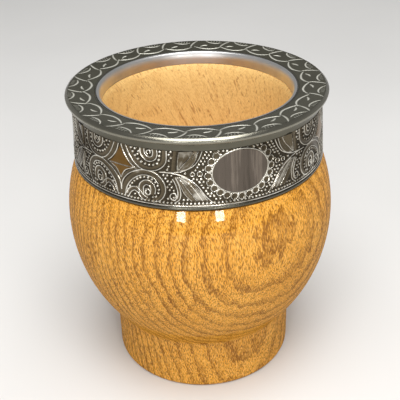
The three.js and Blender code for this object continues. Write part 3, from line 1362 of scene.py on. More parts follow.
@dataclass
class WoodenCup:
    """The cup: a foot, a round belly, a shoulder and a neck, hollowed from the top.

    Lengths are in metres, and the steps of arcs in degrees.
    """

    extent: Extent = field(default_factory=lambda: Extent.of("wooden_cup"))
    collar: Extent = field(default_factory=lambda: Extent.of("mouth_collar"))
    wire: Extent = field(default_factory=lambda: Extent.of("lower_edge_wire"))
    foot_inset: float = 13.6 * MM
    shoulder_inset: float = 3.9 * MM
    foot_height: float = 19.3 * MM
    belly_height: float = 56.3 * MM
    belly_step: float = 1.0
    foot_edge: float = 1.2 * MM
    foot_edge_step: float = 15.0
    foot_ring: float = 8.5 * MM
    recess: float = 1.2 * MM
    crease: float = 3.5 * MM
    neck_inset: float = 1.54 * MM
    neck_draw_in: float = 1.1 * MM
    neck_chamfer: float = 0.8 * MM
    collar_lip: float = 0.9 * MM
    collar_wall: float = 0.9 * MM
    bore_ease: float = 1.2 * MM
    bore_drop: float = 2.0 * MM
    bore_taper: float = 1.6 * MM
    floor: float = 21.0 * MM
    floor_round: float = 14.0 * MM
    floor_step: float = 3.0
    smooth_to: float = 30.0

    def belly_arc(self, inset: float, height: float) -> tuple[Point, float, float]:
        """Finds the belly's arc from its widest place to where it has drawn in.

        Args:
            inset: How far it has drawn in there.
            height: Height of that place.

        Returns:
            Centre, radius and end angle of the arc.
        """
        rise = height - self.belly_height
        radius = (rise**2 + inset**2) / (2 * inset)
        return (self.extent.radius - radius, self.belly_height), radius, math.asin(rise / radius)

    def outside(self) -> list[Point]:
        """Draws the outside.

        Returns:
            Its profile, from the middle of the base up to the top of the neck.
        """
        foot = self.extent.radius - self.foot_inset
        inner = foot - self.foot_ring
        shoulder = self.wire.bottom - GAP
        centre, radius, _ = self.belly_arc(self.foot_inset, self.foot_height)
        aside = foot + self.crease - centre[0]
        drop = math.sqrt((radius + self.crease) ** 2 - aside**2)
        meeting = math.atan2(-drop, aside)
        upper, upper_radius, upper_end = self.belly_arc(self.shoulder_inset, shoulder)
        neck = self.extent.radius - self.shoulder_inset - self.neck_inset
        top = neck - self.neck_draw_in
        edge = (foot - self.foot_edge, self.foot_edge)
        crease = (foot + self.crease, self.belly_height - drop)
        return [
            (0.0, self.recess),
            (inner - self.recess, self.recess),
            (inner, 0.0),
            *arc(edge, self.foot_edge, -math.pi / 2, 0, self.foot_edge_step),
            *arc(crease, self.crease, math.pi, math.pi + meeting),
            *arc(centre, radius, meeting, 0, self.belly_step)[1:],
            *arc(upper, upper_radius, 0, upper_end, self.belly_step)[1:],
            (neck, shoulder),
            (top, self.extent.top - self.neck_chamfer),
            (top - self.neck_chamfer, self.extent.top),
        ]

    def inside(self) -> list[Point]:
        """Draws the inside.

        Returns:
            Its profile, from the collar's seat down to the middle of the floor.
        """
        mouth = self.collar.radius - self.collar_lip - self.collar_wall
        seat = self.collar.bottom - GAP
        bore = mouth - self.bore_ease
        turn_in = (bore - self.bore_taper - self.floor_round, self.floor + self.floor_round)
        return [
            (mouth + self.collar_wall + GAP, self.extent.top),
            (mouth + self.collar_wall + GAP, seat),
            (mouth, seat),
            (bore, seat - self.bore_drop),
            *arc(turn_in, self.floor_round, 0, -math.pi / 2, self.floor_step),
            (0.0, self.floor),
        ]

    def is_bare(self, away: float, face: Face) -> bool:
        """Tells whether a face is one of the unvarnished ones inside."""
        return away < self.collar.radius - self.collar_lip and face.center.z > self.floor - MM

    def build(self) -> None:
        """Turns the cup and gives its two kinds of surface their woods."""
        cup = turned("turned_cup", [*self.outside(), *self.inside()], closed=False)
        dress(cup, OUTER_WOOD, self.smooth_to)
        dress_faces(cup, INNER_WOOD, self.is_bare)
        settle(cup, "wooden_cup")


@dataclass
class BandOrnament:
    """Ornament of half a repeat of the band, from the middle of a star to the middle of a medallion.

    Places are in millimetres: along the band from the star's middle, and up from the cup's shoulder.
    """

    columns: np.ndarray
    rows: np.ndarray
    half_repeat: float
    sheet: ChasedSheet = field(init=False)
    ground: float = -0.16
    line: float = 0.21
    line_rise: float = 0.32
    overrun: float = 1.0
    strap_rise: float = 0.22
    strap_polish: float = 0.5
    bead: float = 0.51
    bead_rise: float = 0.34
    bead_spacing: float = 1.15
    row_spacing: float = 1.24
    grain_seed: int = 23
    blade_rise: float = 0.24
    blade_bevel: float = 0.2
    blade_edge: float = 1.1
    # Bright share along the blades' edges: scoured metal and painted highlight.
    blade_edge_polish_and_highlight: float = 0.92
    vein: float = 0.14
    vein_ends: tuple[int, int] = (2, -4)
    vein_gleam: float = 0.1
    star_middle: float = 12.4
    star_reach: float = 4.6
    star_top: float = 18.5
    star_foot: float = 8.2
    star_rise: float = 0.24
    star_bevel: float = 0.25
    star_leans: Point = (-0.05, 0.06)
    star_tarnish: float = 0.95
    star_line: float = 0.15
    star_line_rise: float = 0.42
    star_edge: float = 0.9
    medallion_middle: float = 11.9
    medallion_axes: Point = (8.55, 6.75)
    medallion_rise: float = 0.30
    medallion_bevel: float = 0.4
    brush_end: float = 0.98
    brush_fade: float = 0.03
    rim_steps: int = 160
    rim_line: float = 0.22
    rim_rise: float = 0.40
    eyelet_axes: Point = (9.75, 8.0)
    eyelet: float = 1.17
    eyelet_wall: float = 0.18
    eyelet_count: int = 25
    eyelet_room: float = 0.9
    lone_eyelets: Sequence[tuple[Point, float]] = (((22.2, 12.0), 0.8), ((24.3, 12.1), 0.9))
    cusp_axes: Point = (9.15, 7.38)
    border_inset: float = 0.22
    border_line: float = 0.3
    border_row: float = 0.85

    def __post_init__(self) -> None:
        """Starts with a bare sheet."""
        self.sheet = ChasedSheet(self.columns, self.rows, self.ground)

    def draw(self) -> ChasedSheet:
        """Draws the whole half repeat.

        Returns:
            The drawing.
        """
        self.star()
        self.upper_scroll()
        self.lower_scroll()
        self.upper_leaf()
        self.lower_leaf()
        self.medallion()
        self.border()
        luck = np.random.default_rng(self.grain_seed)
        self.sheet.grains(self.bead_spacing, self.bead, self.bead_rise, luck)
        return self.sheet

    def ridge(self, *points: Point) -> None:
        """Raises a thin bright ridge along a smooth curve."""
        self.sheet.ridge(spline(points), self.line, self.line_rise)

    def volute(self, centre: Point, radii: Point, start: float, turns: float, swell: float) -> None:
        """Raises a volute, whose ridge is wider than a thin one by a swell."""
        self.sheet.ridge(spiral(centre, radii, start, turns), swell * self.line, self.line_rise)

    def strap(self, *points: Point, half_width: float) -> None:
        """Raises a smooth hollow strap along a smooth curve."""
        self.sheet.strap(spline(points), half_width, self.strap_rise, self.strap_polish)

    def edged_strap(self, *points: Point, half_width: float) -> None:
        """Raises a smooth hollow strap with a thin bright ridge along each side.

        Args:
            points: Points that its smooth curve passes through.
            half_width: Half its width.
        """
        self.strap(*points, half_width=half_width)
        for side in (-half_width, half_width):
            self.sheet.ridge(beside(spline(points), side), self.line, self.line_rise)

    def row(self, *points: Point) -> None:
        """Raises a row of beads along a smooth curve."""
        self.sheet.beads(spline(points), self.row_spacing, self.bead, self.bead_rise)

    def leaf(self, edges: Sequence[Sequence[Point]], leans: Sequence[Point], polish_and_highlight: Sequence[float]) -> None:
        """Raises a fan of smooth blades that lean apart, each with a fine vein.

        Args:
            edges: The edges between the blades, from root to tip, with as many points each.
            leans: Lean of each blade along and across.
            polish_and_highlight: Share of bright metal on each blade.
        """
        lines = [spline(edge) for edge in edges]
        for first, second, lean, bright in zip(lines, lines[1:], leans, polish_and_highlight):
            blade = np.vstack([first, second[::-1]])
            self.sheet.facet(blade, self.blade_rise, self.blade_bevel, lean, polish_and_highlight=bright)
            vein = (first + second)[slice(*self.vein_ends)] / 2
            self.sheet.ridge(vein, self.vein, self.line_rise, bright + self.vein_gleam)
        for line in lines:
            self.sheet.ridge(line, self.vein, self.blade_edge * self.line_rise, self.blade_edge_polish_and_highlight)

    def star(self) -> None:
        """Raises a four-pointed star in smooth facets that lean apart, with a ridge between its halves."""
        side = (self.star_reach, self.star_middle)
        upper = spline([(0, self.star_top), (1.35, 16.0), (2.95, 13.8), side])
        lower = spline([(0, self.star_foot), (0.75, 9.7), (1.95, 11.1), side])
        for edge, lean in zip((upper, lower), self.star_leans):
            half = np.vstack([edge[::-1] * (-1, 1), edge])
            self.sheet.facet(half, self.star_rise, self.star_bevel, (0, lean), self.star_tarnish)
        level = np.array([(-self.overrun, self.star_middle), side])
        self.sheet.ridge(level, self.star_line, self.star_line_rise)
        self.sheet.ridge(lower, self.star_line, self.star_edge * self.line_rise)
        self.strap((0.0, 6.9), (1.2, 9.2), (3.2, 11.0), (5.2, 12.0), half_width=0.5)

    def upper_scroll(self) -> None:
        """Raises the scroll that hangs from the upper edge beside the star."""
        self.strap((1.15, 19.2), (2.3, 16.3), (4.1, 13.9), (6.0, 12.7), half_width=0.6)
        sweep = [(2.8, 19.2), (4.2, 16.1), (6.0, 14.1), (8.3, 13.0), (10.6, 13.0), (12.6, 14.0)]
        self.strap(*sweep, (13.9, 15.8), (14.2, 19.2), half_width=0.62)
        loop = [(7.5, 19.2), (7.7, 17.3), (9.2, 15.9), (10.9, 16.3), (11.5, 17.7), (11.3, 19.2)]
        self.edged_strap(*loop, half_width=0.66)
        self.ridge((0.35, 19.2), (1.4, 16.3), (3.2, 13.9), (4.9, 12.5))
        outer = [(1.95, 19.2), (3.35, 16.1), (5.0, 14.0), (7.0, 12.6), (9.5, 12.3), (11.5, 12.6)]
        self.ridge(*outer, (13.4, 13.7), (14.7, 15.6), (14.95, 19.2))
        self.volute((9.6, 18.0), radii=(0.8, 0.45), start=240, turns=-0.8, swell=1.2)
        beaded = [(3.9, 18.6), (4.9, 16.7), (6.6, 15.0), (8.6, 14.2), (10.7, 14.2)]
        self.row(*beaded, (12.3, 15.2), (12.95, 18.5))
        self.row((5.2, 18.5), (6.0, 16.9))

    def lower_scroll(self) -> None:
        """Raises the round scroll under it, with a stem that curls over like a wave."""
        stem = [(0.55, 2.8), (1.05, 5.6), (2.5, 8.2), (4.7, 10.3), (7.0, 11.4), (9.2, 11.5), (11.3, 10.8)]
        curl = [(12.9, 9.2), (13.6, 7.0), (13.3, 5.0), (12.2, 3.5), (10.4, 2.8)]
        self.strap(*stem, *curl, half_width=0.68)
        wave = [(1.9, 2.9), (3.1, 4.9), (4.7, 5.8), (6.1, 5.1), (7.0, 3.9), (8.4, 3.0)]
        self.edged_strap(*wave, half_width=0.6)
        hook = [(6.9, 4.6), (6.9, 7.0), (8.3, 8.4), (9.9, 8.0), (10.6, 6.6), (10.4, 5.2)]
        self.edged_strap(*hook, half_width=0.72)
        outer = [(0.0, 4.4), (0.3, 6.7), (1.5, 8.8), (3.6, 10.7), (6.4, 12.0), (8.5, 12.25), (10.8, 11.9)]
        self.ridge(*outer, (12.7, 10.7), (14.0, 8.8), (14.35, 6.6), (13.8, 4.7), (12.6, 3.2), (10.6, 2.4))
        inner = [(1.35, 2.9), (1.9, 5.4), (3.3, 7.8), (5.3, 9.6), (7.4, 10.6), (9.3, 10.65)]
        self.ridge(*inner, (11.0, 10.0), (12.2, 8.5))
        beaded = [(2.0, 4.0), (3.0, 6.2), (4.6, 8.2), (6.5, 9.6), (8.4, 10.1), (10.2, 9.7)]
        self.row(*beaded, (11.7, 8.3), (12.3, 6.6))
        self.row((12.1, 5.5), (11.3, 4.2))
        self.volute((8.8, 5.3), radii=(1.05, 0.6), start=120, turns=-0.95, swell=1.4)

    def upper_leaf(self) -> None:
        """Raises the smooth leaf that fans out to the upper edge, in blades that lean apart."""
        self.ridge((12.6, 12.25), (16.0, 12.4), (19.0, 12.75), (22.2, 14.3), (24.0, 16.4), (25.2, 19.2))
        self.strap((16.6, 12.9), (16.8, 15.0), (17.1, 17.0), (17.4, 19.2), half_width=0.55)
        edges = (
            [(17.9, 13.1), (18.0, 15.0), (18.2, 17.0), (18.6, 19.2)],
            [(18.1, 13.1), (19.7, 15.0), (21.3, 16.8), (22.6, 19.2)],
            [(18.6, 13.0), (20.9, 13.7), (22.9, 15.8), (24.1, 19.2)],
        )
        self.leaf(edges, leans=((-0.12, 0.08), (0.1, -0.12)), polish_and_highlight=(0.61, 0.55))

    def lower_leaf(self) -> None:
        """Raises the veined leaf that sweeps down to the lower edge, with a small curl beside it."""
        spine = [(12.6, 12.2), (16.2, 12.1), (19.2, 11.4), (21.6, 10.2), (23.7, 8.2)]
        self.ridge(*spine, (25.7, 5.2), (27.8, 2.9))
        edges = (
            [(17.4, 10.9), (18.7, 8.2), (19.8, 5.8), (21.8, 3.5)],
            [(17.8, 11.0), (19.7, 8.8), (21.4, 6.3), (23.3, 3.6)],
            [(18.3, 11.1), (20.8, 9.4), (22.9, 6.9), (24.9, 3.6)],
            [(19.0, 11.25), (21.6, 9.9), (23.9, 7.2), (26.4, 3.5)],
        )
        self.leaf(edges, leans=((-0.12, -0.08), (0.12, 0.1), (-0.1, -0.08)), polish_and_highlight=(0.56, 0.63, 0.57))
        self.edged_strap((16.9, 10.6), (17.9, 8.2), (18.3, 6.0), (18.0, 4.2), (16.9, 3.3), half_width=0.42)
        self.volute((16.7, 4.9), radii=(1.35, 0.45), start=285, turns=-1.1, swell=1.2)

    def medallion(self) -> None:
        """Raises a blank oval with a rim and upright brush marks, in a row of eyelets."""
        centre = (self.half_repeat, self.medallion_middle)
        highest = self.rows[-1] - self.eyelet_room * self.eyelet
        round_it = ellipse(centre, self.eyelet_axes, self.eyelet_count)
        eyelets = [(place, self.eyelet) for place in round_it if place[1] < highest]
        for place, radius in (*eyelets, *self.lone_eyelets):
            self.sheet.eyelet(place, radius, self.eyelet_wall, self.line_rise)
        for place in ellipse(centre, self.cusp_axes, 2 * self.eyelet_count)[1::2]:
            self.sheet.bead(place, self.bead, self.line_rise)
        rim = ellipse(centre, self.medallion_axes, self.rim_steps)
        self.sheet.facet(rim, self.medallion_rise, self.medallion_bevel)
        window = self.sheet.window(rim.min(0), rim.max(0))
        x, y = self.sheet.points(window)
        away = np.hypot((x - centre[0]) / self.medallion_axes[0], (y - centre[1]) / self.medallion_axes[1])
        self.sheet.brushed[window] = np.clip((self.brush_end - away) / self.brush_fade, 0, 1)
        self.sheet.ridge(np.vstack([rim, rim[:1]]), self.rim_line, self.rim_rise)

    def border(self) -> None:
        """Raises a plain ridge and a row of beads along the lower edge."""
        level = self.rows[0] + self.border_inset
        start, end = self.columns[0], self.columns[-1]
        edge = np.array([(start - self.overrun, level), (end + self.overrun, level)])
        self.sheet.ridge(edge, self.border_line, self.line_rise)
        row = np.array([(start, level + self.border_row), (end, level + self.border_row)])
        self.sheet.beads(row, self.bead_spacing, self.bead, self.bead_rise)


@dataclass
class ChasedBand:
    """Band of the ferrule: lengths of chased strip, closed by a soldered seam at the back.

    Sizes are in metres and angles in radians. A ripple of the seam has its share, its waves for each
    millimetre and its start.
    """

    extent: Extent = field(default_factory=lambda: Extent.of("ferrule_band"))
    wire: Extent = field(default_factory=lambda: Extent.of("lower_edge_wire"))
    wire_proud: float = 0.2 * MM
    wire_step: float = 12.0
    draw_in: float = 1.0 * MM
    thickness: float = 0.9 * MM
    half_repeats: int = 7
    rows: int = 139
    star_columns: int = 142
    medallion_columns: int = 148
    strip_sectors: int = 4
    seam_width: float = 0.8 * MM
    seam_columns: int = 8
    seam_rise: float = 0.14 * MM
    seam_level: float = 0.5
    seam_ripples: Sequence[tuple[float, float, float]] = ((0.3, 5.1, 0.0), (0.2, 8.7, 1.0))

    @property
    def bottom_radius(self) -> float:
        """Radius of the band's outside at its lower edge."""
        return self.wire.radius - self.wire_proud

    @property
    def middle_radius(self) -> float:
        """Radius of the band's outside half way up."""
        return self.bottom_radius - self.draw_in / 2

    @property
    def half_repeat(self) -> float:
        """Angle from the middle of a star to the middle of a medallion."""
        return 2 * math.pi / self.half_repeats

    @property
    def star_half(self) -> float:
        """Angle from the middle of a star to the end of its length, so that the seam has room."""
        return self.half_repeat / 2 - math.asin(self.seam_width / 2 / self.middle_radius)

    def outside(self, height: np.ndarray) -> np.ndarray:
        """Radius of the plain band at each height."""
        share = (height - self.extent.bottom) / (self.extent.top - self.extent.bottom)
        return self.bottom_radius - self.draw_in * share

    def is_outer(self, places: np.ndarray) -> np.ndarray:
        """True for each place on the outside of the band, and False for one on its back."""
        return from_axis(places) > self.outside(places[:, 2]) - self.thickness / 2

    def strip(self, name: str, turn: float, steps: int, sectors: int) -> Piece:
        """Makes a plain length of the band, with its middle at the front.

        Args:
            name: Name of the piece.
            turn: Angle that it spans.
            steps: Number of columns in a sector.
            sectors: Number of sectors.

        Returns:
            The piece.
        """
        heights = np.linspace(self.extent.bottom, self.extent.top, self.rows)
        outer = list(zip(self.outside(heights), heights))
        inner = [(radius - self.thickness, height) for radius, height in (outer[-1], outer[0])]
        piece = draw_profile(name, [*outer, *inner], closed=True)
        spin(piece, steps, turn, sectors)
        places = corners(piece)
        angles = np.arctan2(places[:, 1], places[:, 0])
        turn_round(piece, -math.pi / 2 - (angles.min() + angles.max()) / 2)
        return piece

    def chase(self, piece: Piece, sheet: ChasedSheet, motif: Motif) -> None:
        """Beats the drawing into a plain length of the band.

        Args:
            piece: The plain length.
            sheet: Drawing of half a repeat.
            motif: What stands in the middle of the length.
        """
        places = corners(piece)
        angle = np.abs(from_front(places))
        from_star = angle if motif is Motif.STAR else self.half_repeat - angle
        along = from_star * self.middle_radius / MM
        across = (places[:, 2] - self.wire.bottom + GAP) / MM
        outer = self.is_outer(places)
        rise = np.where(outer, sheet.sample(sheet.height, along, across) * MM, 0)
        move_corners(piece, pushed_out(places, rise))
        for name in ("polish_and_highlight", "brushed", "tarnish"):
            values = getattr(sheet, name)
            mark(piece, name, np.where(outer, sheet.sample(values, along, across), 0))
        dress(piece, CHASED, RELIEF_SMOOTHING)

    def drawing(self) -> ChasedSheet:
        """Draws half a repeat, with a point for each corner of the two lengths.

        Returns:
            The drawing.
        """
        star = np.linspace(0, self.star_half, self.star_columns + 1)
        medallion = np.linspace(self.star_half, self.half_repeat, self.medallion_columns + 1)
        columns = np.concatenate([star, medallion[1:]]) * self.middle_radius / MM
        shoulder = self.wire.bottom - GAP
        edges = ((self.extent.bottom - shoulder) / MM, (self.extent.top - shoulder) / MM)
        half_repeat = self.half_repeat * self.middle_radius / MM
        return BandOrnament(columns, np.linspace(*edges, self.rows), half_repeat).draw()

    @staticmethod
    def copy(first: Piece, name: str, angle: float) -> Piece:
        """Copies a length with its own mesh and turns it to its place.

        Args:
            first: The length at the front.
            name: Name of the copy.
            angle: Angle of its place from the front.

        Returns:
            The copy.
        """
        take_up(first)
        bpy.ops.object.duplicate(linked=False)
        piece = bpy.context.object
        piece.name = name
        piece.data.name = name
        turn_round(piece, angle)
        return piece

    def make_lengths(self) -> None:
        """Chases one length of each motif and copies it round the cup, stars and medallions by turns."""
        sheet = self.drawing()
        farthest = self.half_repeats // 2
        for motif, half, columns, start in (
            (Motif.STAR, self.star_half, self.star_columns, -farthest),
            (Motif.MEDALLION, self.half_repeat - self.star_half, self.medallion_columns, 1 - farthest),
        ):
            first = self.strip(f"band_{motif.value}", 2 * half, columns // 2, self.strip_sectors)
            self.chase(first, sheet, motif)
            for place in range(start, farthest + 1, 2):
                name = f"band_{motif.value}_{place + farthest + 1}"
                settle(self.copy(first, name, place * self.half_repeat), "ferrule_band")
            bpy.data.objects.remove(first)

    def make_seam(self) -> None:
        """Makes the solder that closes the band, filed nearly flush, with a ripple down its middle."""
        half = math.asin((self.seam_width / 2 - GAP) / self.middle_radius)
        piece = self.strip("band_seam_solder", 2 * half, self.seam_columns, 1)
        places = corners(piece)
        ripple = np.full(len(places), self.seam_level)
        for share, waves, start in self.seam_ripples:
            ripple += share * np.sin(places[:, 2] / MM * waves + start)
        crown = 1 - (from_front(places) / half) ** 2
        rise = np.where(self.is_outer(places), self.seam_rise * ripple * crown, 0)
        move_corners(piece, pushed_out(places, rise) * (-1, -1, 1))
        dress(piece, SOLDERED, RELIEF_SMOOTHING)
        settle(piece, "band_seam")

    def make_wire(self) -> None:
        """Makes the half-round wire along the lower edge."""
        half = (self.wire.top - self.wire.bottom) / 2
        centre = (self.wire.radius - half, self.wire.bottom + half)
        back = self.bottom_radius - self.thickness
        front = arc(centre, half, -math.pi / 2, math.pi / 2, self.wire_step)
        piece = turned("lower_half_round_wire", [(back, self.wire.bottom), *front, (back, self.wire.top)])
        # Dark polished finish: painted dark reflection.
        dress(piece, POLISHED_PAINTED_DARK)
        settle(piece, "lower_edge_wire")

    def build(self) -> None:
        """Makes the lengths, the seam and the wire."""
        self.make_lengths()
        self.make_seam()
        self.make_wire()


@dataclass
class PetalWork:
    """Engraving of the rim plate: leaning scales, each with a small scale, dashes and a fleck.

    The lines of a scale have their angle in degrees and their radius in millimetres. Other lengths are in
    millimetres too.
    """

    around: np.ndarray
    out: np.ndarray
    middle: float
    petals: int
    seed: int = 31
    sway: float = 0.5
    swing: float = 0.3
    shift: float = 0.16
    slope: float = 0.6
    side_width: float = 0.36
    scale_width: float = 0.40
    small_width: float = 0.34
    fleck_width: float = 0.40
    dashes: Sequence[float] = (-5.0, -3.6, -2.2, -0.8)
    dash_foot: float = 39.5
    dash_shift: float = 0.12
    dash_run: Point = (-0.25, 1.0)
    dash_width: float = 0.24
    dash_depth: float = 0.14

    def lines(self) -> list[tuple[list[Point], float]]:
        """Draws the lines of one scale.

        Returns:
            The points of each line, and half its width.
        """
        side = [(-10.6, 41.2), (-8.6, 39.4), (-7.2, 37.5), (-6.6, 36.1)]
        near = [(-7.2, 35.9), (-5.6, 35.0), (-3.2, 34.2), (-0.4, 33.9)]
        scale = [*near, (3.3, 34.3), (6.2, 35.2), (8.0, 36.1)]
        small = [(-6.4, 39.3), (-4.6, 38.8), (-2.4, 38.8), (0.2, 39.5), (2.2, 41.0)]
        fleck = [(0.8, 37.0), (2.8, 36.8), (4.8, 36.1)]
        widths = (self.side_width, self.scale_width, self.small_width, self.fleck_width)
        return list(zip((side, scale, small, fleck), widths))

    def draw(self) -> ChasedSheet:
        """Draws the scales all round, each a little uneven.

        Returns:
            The drawing.
        """
        sheet = ChasedSheet(self.around, self.out, 0.0)
        uneven = np.random.default_rng(self.seed).normal(0, 1, (self.petals, 4))
        degree = math.radians(1) * self.middle
        run, climb = self.dash_run
        for index in range(-1, self.petals + 1):
            sway, shift, dash_shift, swing = uneven[index % self.petals]
            start = index * 360 / self.petals + self.sway * sway
            for line, width in self.lines():
                points = [
                    ((start + a + self.swing * swing) * degree, r + self.shift * shift) for a, r in line
                ]
                sheet.cut(spline(points), width, self.slope * width)
            foot = self.dash_foot + self.dash_shift * dash_shift
            for dash in self.dashes:
                place = (start + dash) * degree
                stroke = np.array([(place, foot), (place + run, foot + climb)])
                sheet.cut(stroke, self.dash_width, self.dash_depth)
        return sheet


@dataclass
class Rim:
    """Rim of the ferrule: skirt, edge wire, engraved plate and the collar in the mouth. Sizes in metres."""

    skirt: Extent = field(default_factory=lambda: Extent.of("rim_skirt"))
    wire: Extent = field(default_factory=lambda: Extent.of("rim_edge_wire"))
    plate: Extent = field(default_factory=lambda: Extent.of("rim_plate"))
    collar: Extent = field(default_factory=lambda: Extent.of("mouth_collar"))
    overhang: float = 2.0 * MM
    skirt_thickness: float = 0.9 * MM
    wire_depth: float = 1.0 * MM
    wire_flat: float = 0.85 * MM
    wire_fullness: float = 0.35
    plate_thickness: float = 1.0 * MM
    plate_rows: int = 60
    plate_columns: int = 1380
    petals: int = 23
    collar_wall: float = 0.9 * MM
    collar_lip: float = 0.9 * MM
    collar_roll: float = 2.5 * MM
    collar_flat: float = 0.9 * MM
    roll_points: int = 20
    lip_facing: float = 0.9
    lip_shine: float = 0.42 * MM

    def make_skirt(self) -> None:
        """Makes the plain hollow flare from the band to the rim."""
        foot = (self.wire.radius - self.overhang, self.skirt.bottom)
        head = (self.skirt.radius, self.skirt.top)
        outer = bow(foot, (foot[0], (foot[1] + head[1]) / 2), head)
        inner = [(radius - self.skirt_thickness, height) for radius, height in reversed(outer)]
        piece = turned("flared_skirt", [*outer, *inner])
        # Dark polished finish: painted dark reflection.
        dress(piece, POLISHED_PAINTED_DARK)
        settle(piece, "rim_skirt")

    def make_wire(self) -> None:
        """Makes the half-round wire round the edge of the rim."""
        edge, back = self.wire.radius, self.wire.radius - self.wire_depth
        top, bottom = self.wire.top, self.wire.bottom
        shoulder = top - self.wire_flat
        pull = (
            (back + edge) / 2 + self.wire_fullness * self.wire_depth / 2,
            (top + shoulder) / 2 + self.wire_fullness * self.wire_flat / 2,
        )
        upper = bow((back, top), pull, (edge, shoulder))
        lower = bow((edge, shoulder), (edge, bottom), (back, bottom))
        piece = turned("rim_half_round_wire", [*upper, *lower[1:]])
        # Its lighter colour is painted highlight.
        dress(piece, EDGE_WIRE_PAINTED_HIGHLIGHT)
        settle(piece, "rim_edge_wire")

    def engraving(self) -> ChasedSheet:
        """Draws the engraving, with a point for each corner of the plate's top.

        Returns:
            The drawing, along the middle of the plate and out from the axis.
        """
        middle = (self.plate.radius + self.collar.radius) / 2 / MM
        around = np.linspace(0, 2 * math.pi, self.plate_columns + 1) * middle
        out = np.linspace((self.collar.radius + GAP) / MM, self.plate.radius / MM, self.plate_rows)
        return PetalWork(around, out, middle, self.petals).draw()

    def make_plate(self) -> None:
        """Makes the dished plate with its engraving."""
        inner = self.collar.radius + GAP
        inner_top = self.plate.bottom + self.plate_thickness
        radii = np.linspace(inner, self.plate.radius, self.plate_rows)
        heights = np.linspace(inner_top, self.plate.top, self.plate_rows)
        under = [(inner, self.plate.bottom), (self.plate.radius, self.plate.top - self.plate_thickness)]
        top = list(zip(radii[::-1], heights[::-1]))
        piece = draw_profile("engraved_plate", [*under, *top], closed=True)
        spin(piece, self.plate_columns // self.petals, sectors=self.petals)
        sheet = self.engraving()
        places = corners(piece)
        away = from_axis(places)
        around = np.mod(from_front(places), 2 * math.pi) / (2 * math.pi) * sheet.along[-1]
        outer = places[:, 2] > np.interp(away, radii, heights) - self.plate_thickness / 2
        places[:, 2] += np.where(outer, sheet.sample(sheet.height, around, away / MM) * MM, 0)
        move_corners(piece, places)
        mark(piece, "polish_and_highlight", np.where(outer, sheet.sample(sheet.polish_and_highlight, around, away / MM), 0))
        dress(piece, ENGRAVED, RELIEF_SMOOTHING)
        settle(piece, "rim_plate")

    @property
    def lip_edge(self) -> float:
        """Radius at which the flat of the collar's lip begins to roll in."""
        return self.collar.radius - self.collar_flat

    def is_worn(self, away: float, face: Face) -> bool:
        """Tells whether a face is on the collar lip's scoured smooth strip, dark as painted dark reflection.
        """
        return face.normal.z > self.lip_facing and away > self.lip_edge + self.lip_shine

    def make_collar(self) -> None:
        """Makes the sleeve in the mouth, with its lip rolled out to the plate."""
        lip, edge = self.collar.radius, self.lip_edge
        outer = lip - self.collar_lip
        mouth = outer - self.collar_wall
        under, top = self.plate.bottom, self.collar.top
        foot = [(mouth, self.collar.bottom), (outer, self.collar.bottom)]
        flat = [(outer, under), (lip, under), (lip, top), (edge + self.lip_shine, top)]
        turns = np.linspace(math.pi / 2, math.pi, self.roll_points)
        fall = self.collar_roll
        roll = [(edge + (edge - mouth) * math.cos(a), top - fall * (1 - math.sin(a))) for a in turns]
        piece = turned("mouth_collar_sleeve", [*foot, *flat, *roll])
        dress(piece, BRUSHED)
        # The scoured strip takes the dark polished finish: painted dark reflection.
        dress_faces(piece, POLISHED_PAINTED_DARK, self.is_worn)
        settle(piece, "mouth_collar")

    def build(self) -> None:
        """Makes the pieces of the rim."""
        self.make_skirt()
        self.make_wire()
        self.make_plate()
        self.make_collar()


@dataclass(frozen=True)
class Lamp:
    """Soft rectangular lamp that faces the cup, at an angle to one side of the camera.

    Angles are in degrees, lengths in metres and the power in watts.
    """

    name: str
    aside: float
    elevation: float
    size: Point
    power: float
    reach: float = 0.9


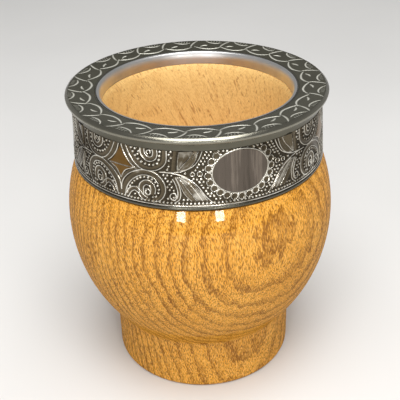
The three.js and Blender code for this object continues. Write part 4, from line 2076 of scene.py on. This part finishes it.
@dataclass
class Studio:
    """Pale floor, soft lamps and the camera. Lengths are in metres, and angles in degrees."""

    azimuth: float = -17.25
    elevation: float = 30.196
    roll: float = -1.656
    distance: float = 0.26885
    aim_height: float = 0.0571
    lens: float = 69.59
    sensor: float = 36.0
    clip_start: float = 0.01
    floor_size: float = 6.0
    sky_levels: Point = (0.05, 0.8)
    horizon: float = 0.5
    zenith: float = 0.22
    lamps: Sequence[Lamp] = (
        Lamp("overhead_softbox", aside=5, elevation=72, size=(0.7, 0.7), power=10),
        Lamp("front_lamp_left", aside=-15.5, elevation=9.5, size=(0.11, 0.14), power=1.5),
        Lamp("front_lamp_right", aside=15.5, elevation=9.5, size=(0.11, 0.14), power=1.5),
    )

    def direction(self, azimuth: float, elevation: float) -> Vector:
        """Unit vector from the cup towards a direction."""
        a, e = math.radians(azimuth), math.radians(elevation)
        return Vector((math.sin(a) * math.cos(e), -math.cos(a) * math.cos(e), math.sin(e)))

    def make_camera(self) -> None:
        """Sets up the camera at the photograph's view."""
        back = self.direction(self.azimuth, self.elevation)
        start_clean()
        bpy.ops.object.camera_add(location=Vector((0, 0, self.aim_height)) + back * self.distance)
        camera = bpy.context.object
        camera.name = "camera"
        roll = Matrix.Rotation(math.radians(self.roll), 3, "Z")
        camera.rotation_euler = ((-back).to_track_quat("-Z", "Y").to_matrix() @ roll).to_euler()
        camera.data.lens = self.lens
        camera.data.sensor_width = self.sensor
        camera.data.clip_start = self.clip_start
        bpy.context.scene.camera = camera

    def make_lamp(self, plan: Lamp) -> None:
        """Hangs a lamp.

        Args:
            plan: What it is like.
        """
        towards = self.direction(self.azimuth + plan.aside, plan.elevation)
        start_clean()
        bpy.ops.object.light_add(type="AREA", location=Vector((0, 0, self.aim_height)) + towards * plan.reach)
        lamp = bpy.context.object
        lamp.name = plan.name
        lamp.rotation_euler = (-towards).to_track_quat("-Z", "Y").to_euler()
        lamp.data.shape = "RECTANGLE"
        lamp.data.size, lamp.data.size_y = plan.size
        lamp.data.energy = plan.power

    def make_floor(self) -> None:
        """Lays the pale floor under the cup."""
        start_clean()
        bpy.ops.mesh.primitive_plane_add(size=self.floor_size)
        floor = bpy.context.object
        floor.name = "floor"
        floor.data.materials.append(FLOORED.material())

    def make_world(self) -> None:
        """Lights the studio softly from all round, dimmer overhead."""
        world = bpy.data.worlds.new("studio_world")
        world.use_nodes = True
        nodes, links = world.node_tree.nodes, world.node_tree.links
        split = nodes.new("ShaderNodeSeparateXYZ")
        links.new(nodes.new("ShaderNodeTexCoord").outputs["Generated"], split.inputs["Vector"])
        ramp = nodes.new("ShaderNodeValToRGB")
        for stop, place, level in zip(ramp.color_ramp.elements, self.sky_levels, (self.horizon, self.zenith)):
            stop.position = place
            stop.color = (level, level, level, 1)
        links.new(split.outputs["Z"], ramp.inputs["Fac"])
        links.new(ramp.outputs["Color"], nodes["Background"].inputs["Color"])
        bpy.context.scene.world = world

    def build(self) -> None:
        """Sets up the studio."""
        self.make_camera()
        self.make_floor()
        self.make_world()
        for plan in self.lamps:
            self.make_lamp(plan)
        bpy.context.scene.view_settings.view_transform = "Standard"


def dress_hidden_glue() -> None:
    """Gives the glue under the ferrule its finish. Its CAD solids stay."""
    for name in ("neck_glue", "rim_glue"):
        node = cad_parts[name]
        node.data.materials.clear()
        node.data.materials.append(GLUED.material())
        LOG.info("%s keeps its CAD solid", name)


def main() -> None:
    """Builds the studio and the cup."""
    logging.basicConfig(level=logging.INFO, format="%(relativeCreated)6d ms %(name)s: %(message)s")
    Studio().build()
    WoodenCup().build()
    ChasedBand().build()
    Rim().build()
    dress_hidden_glue()


if __name__ == "__main__":
    main()
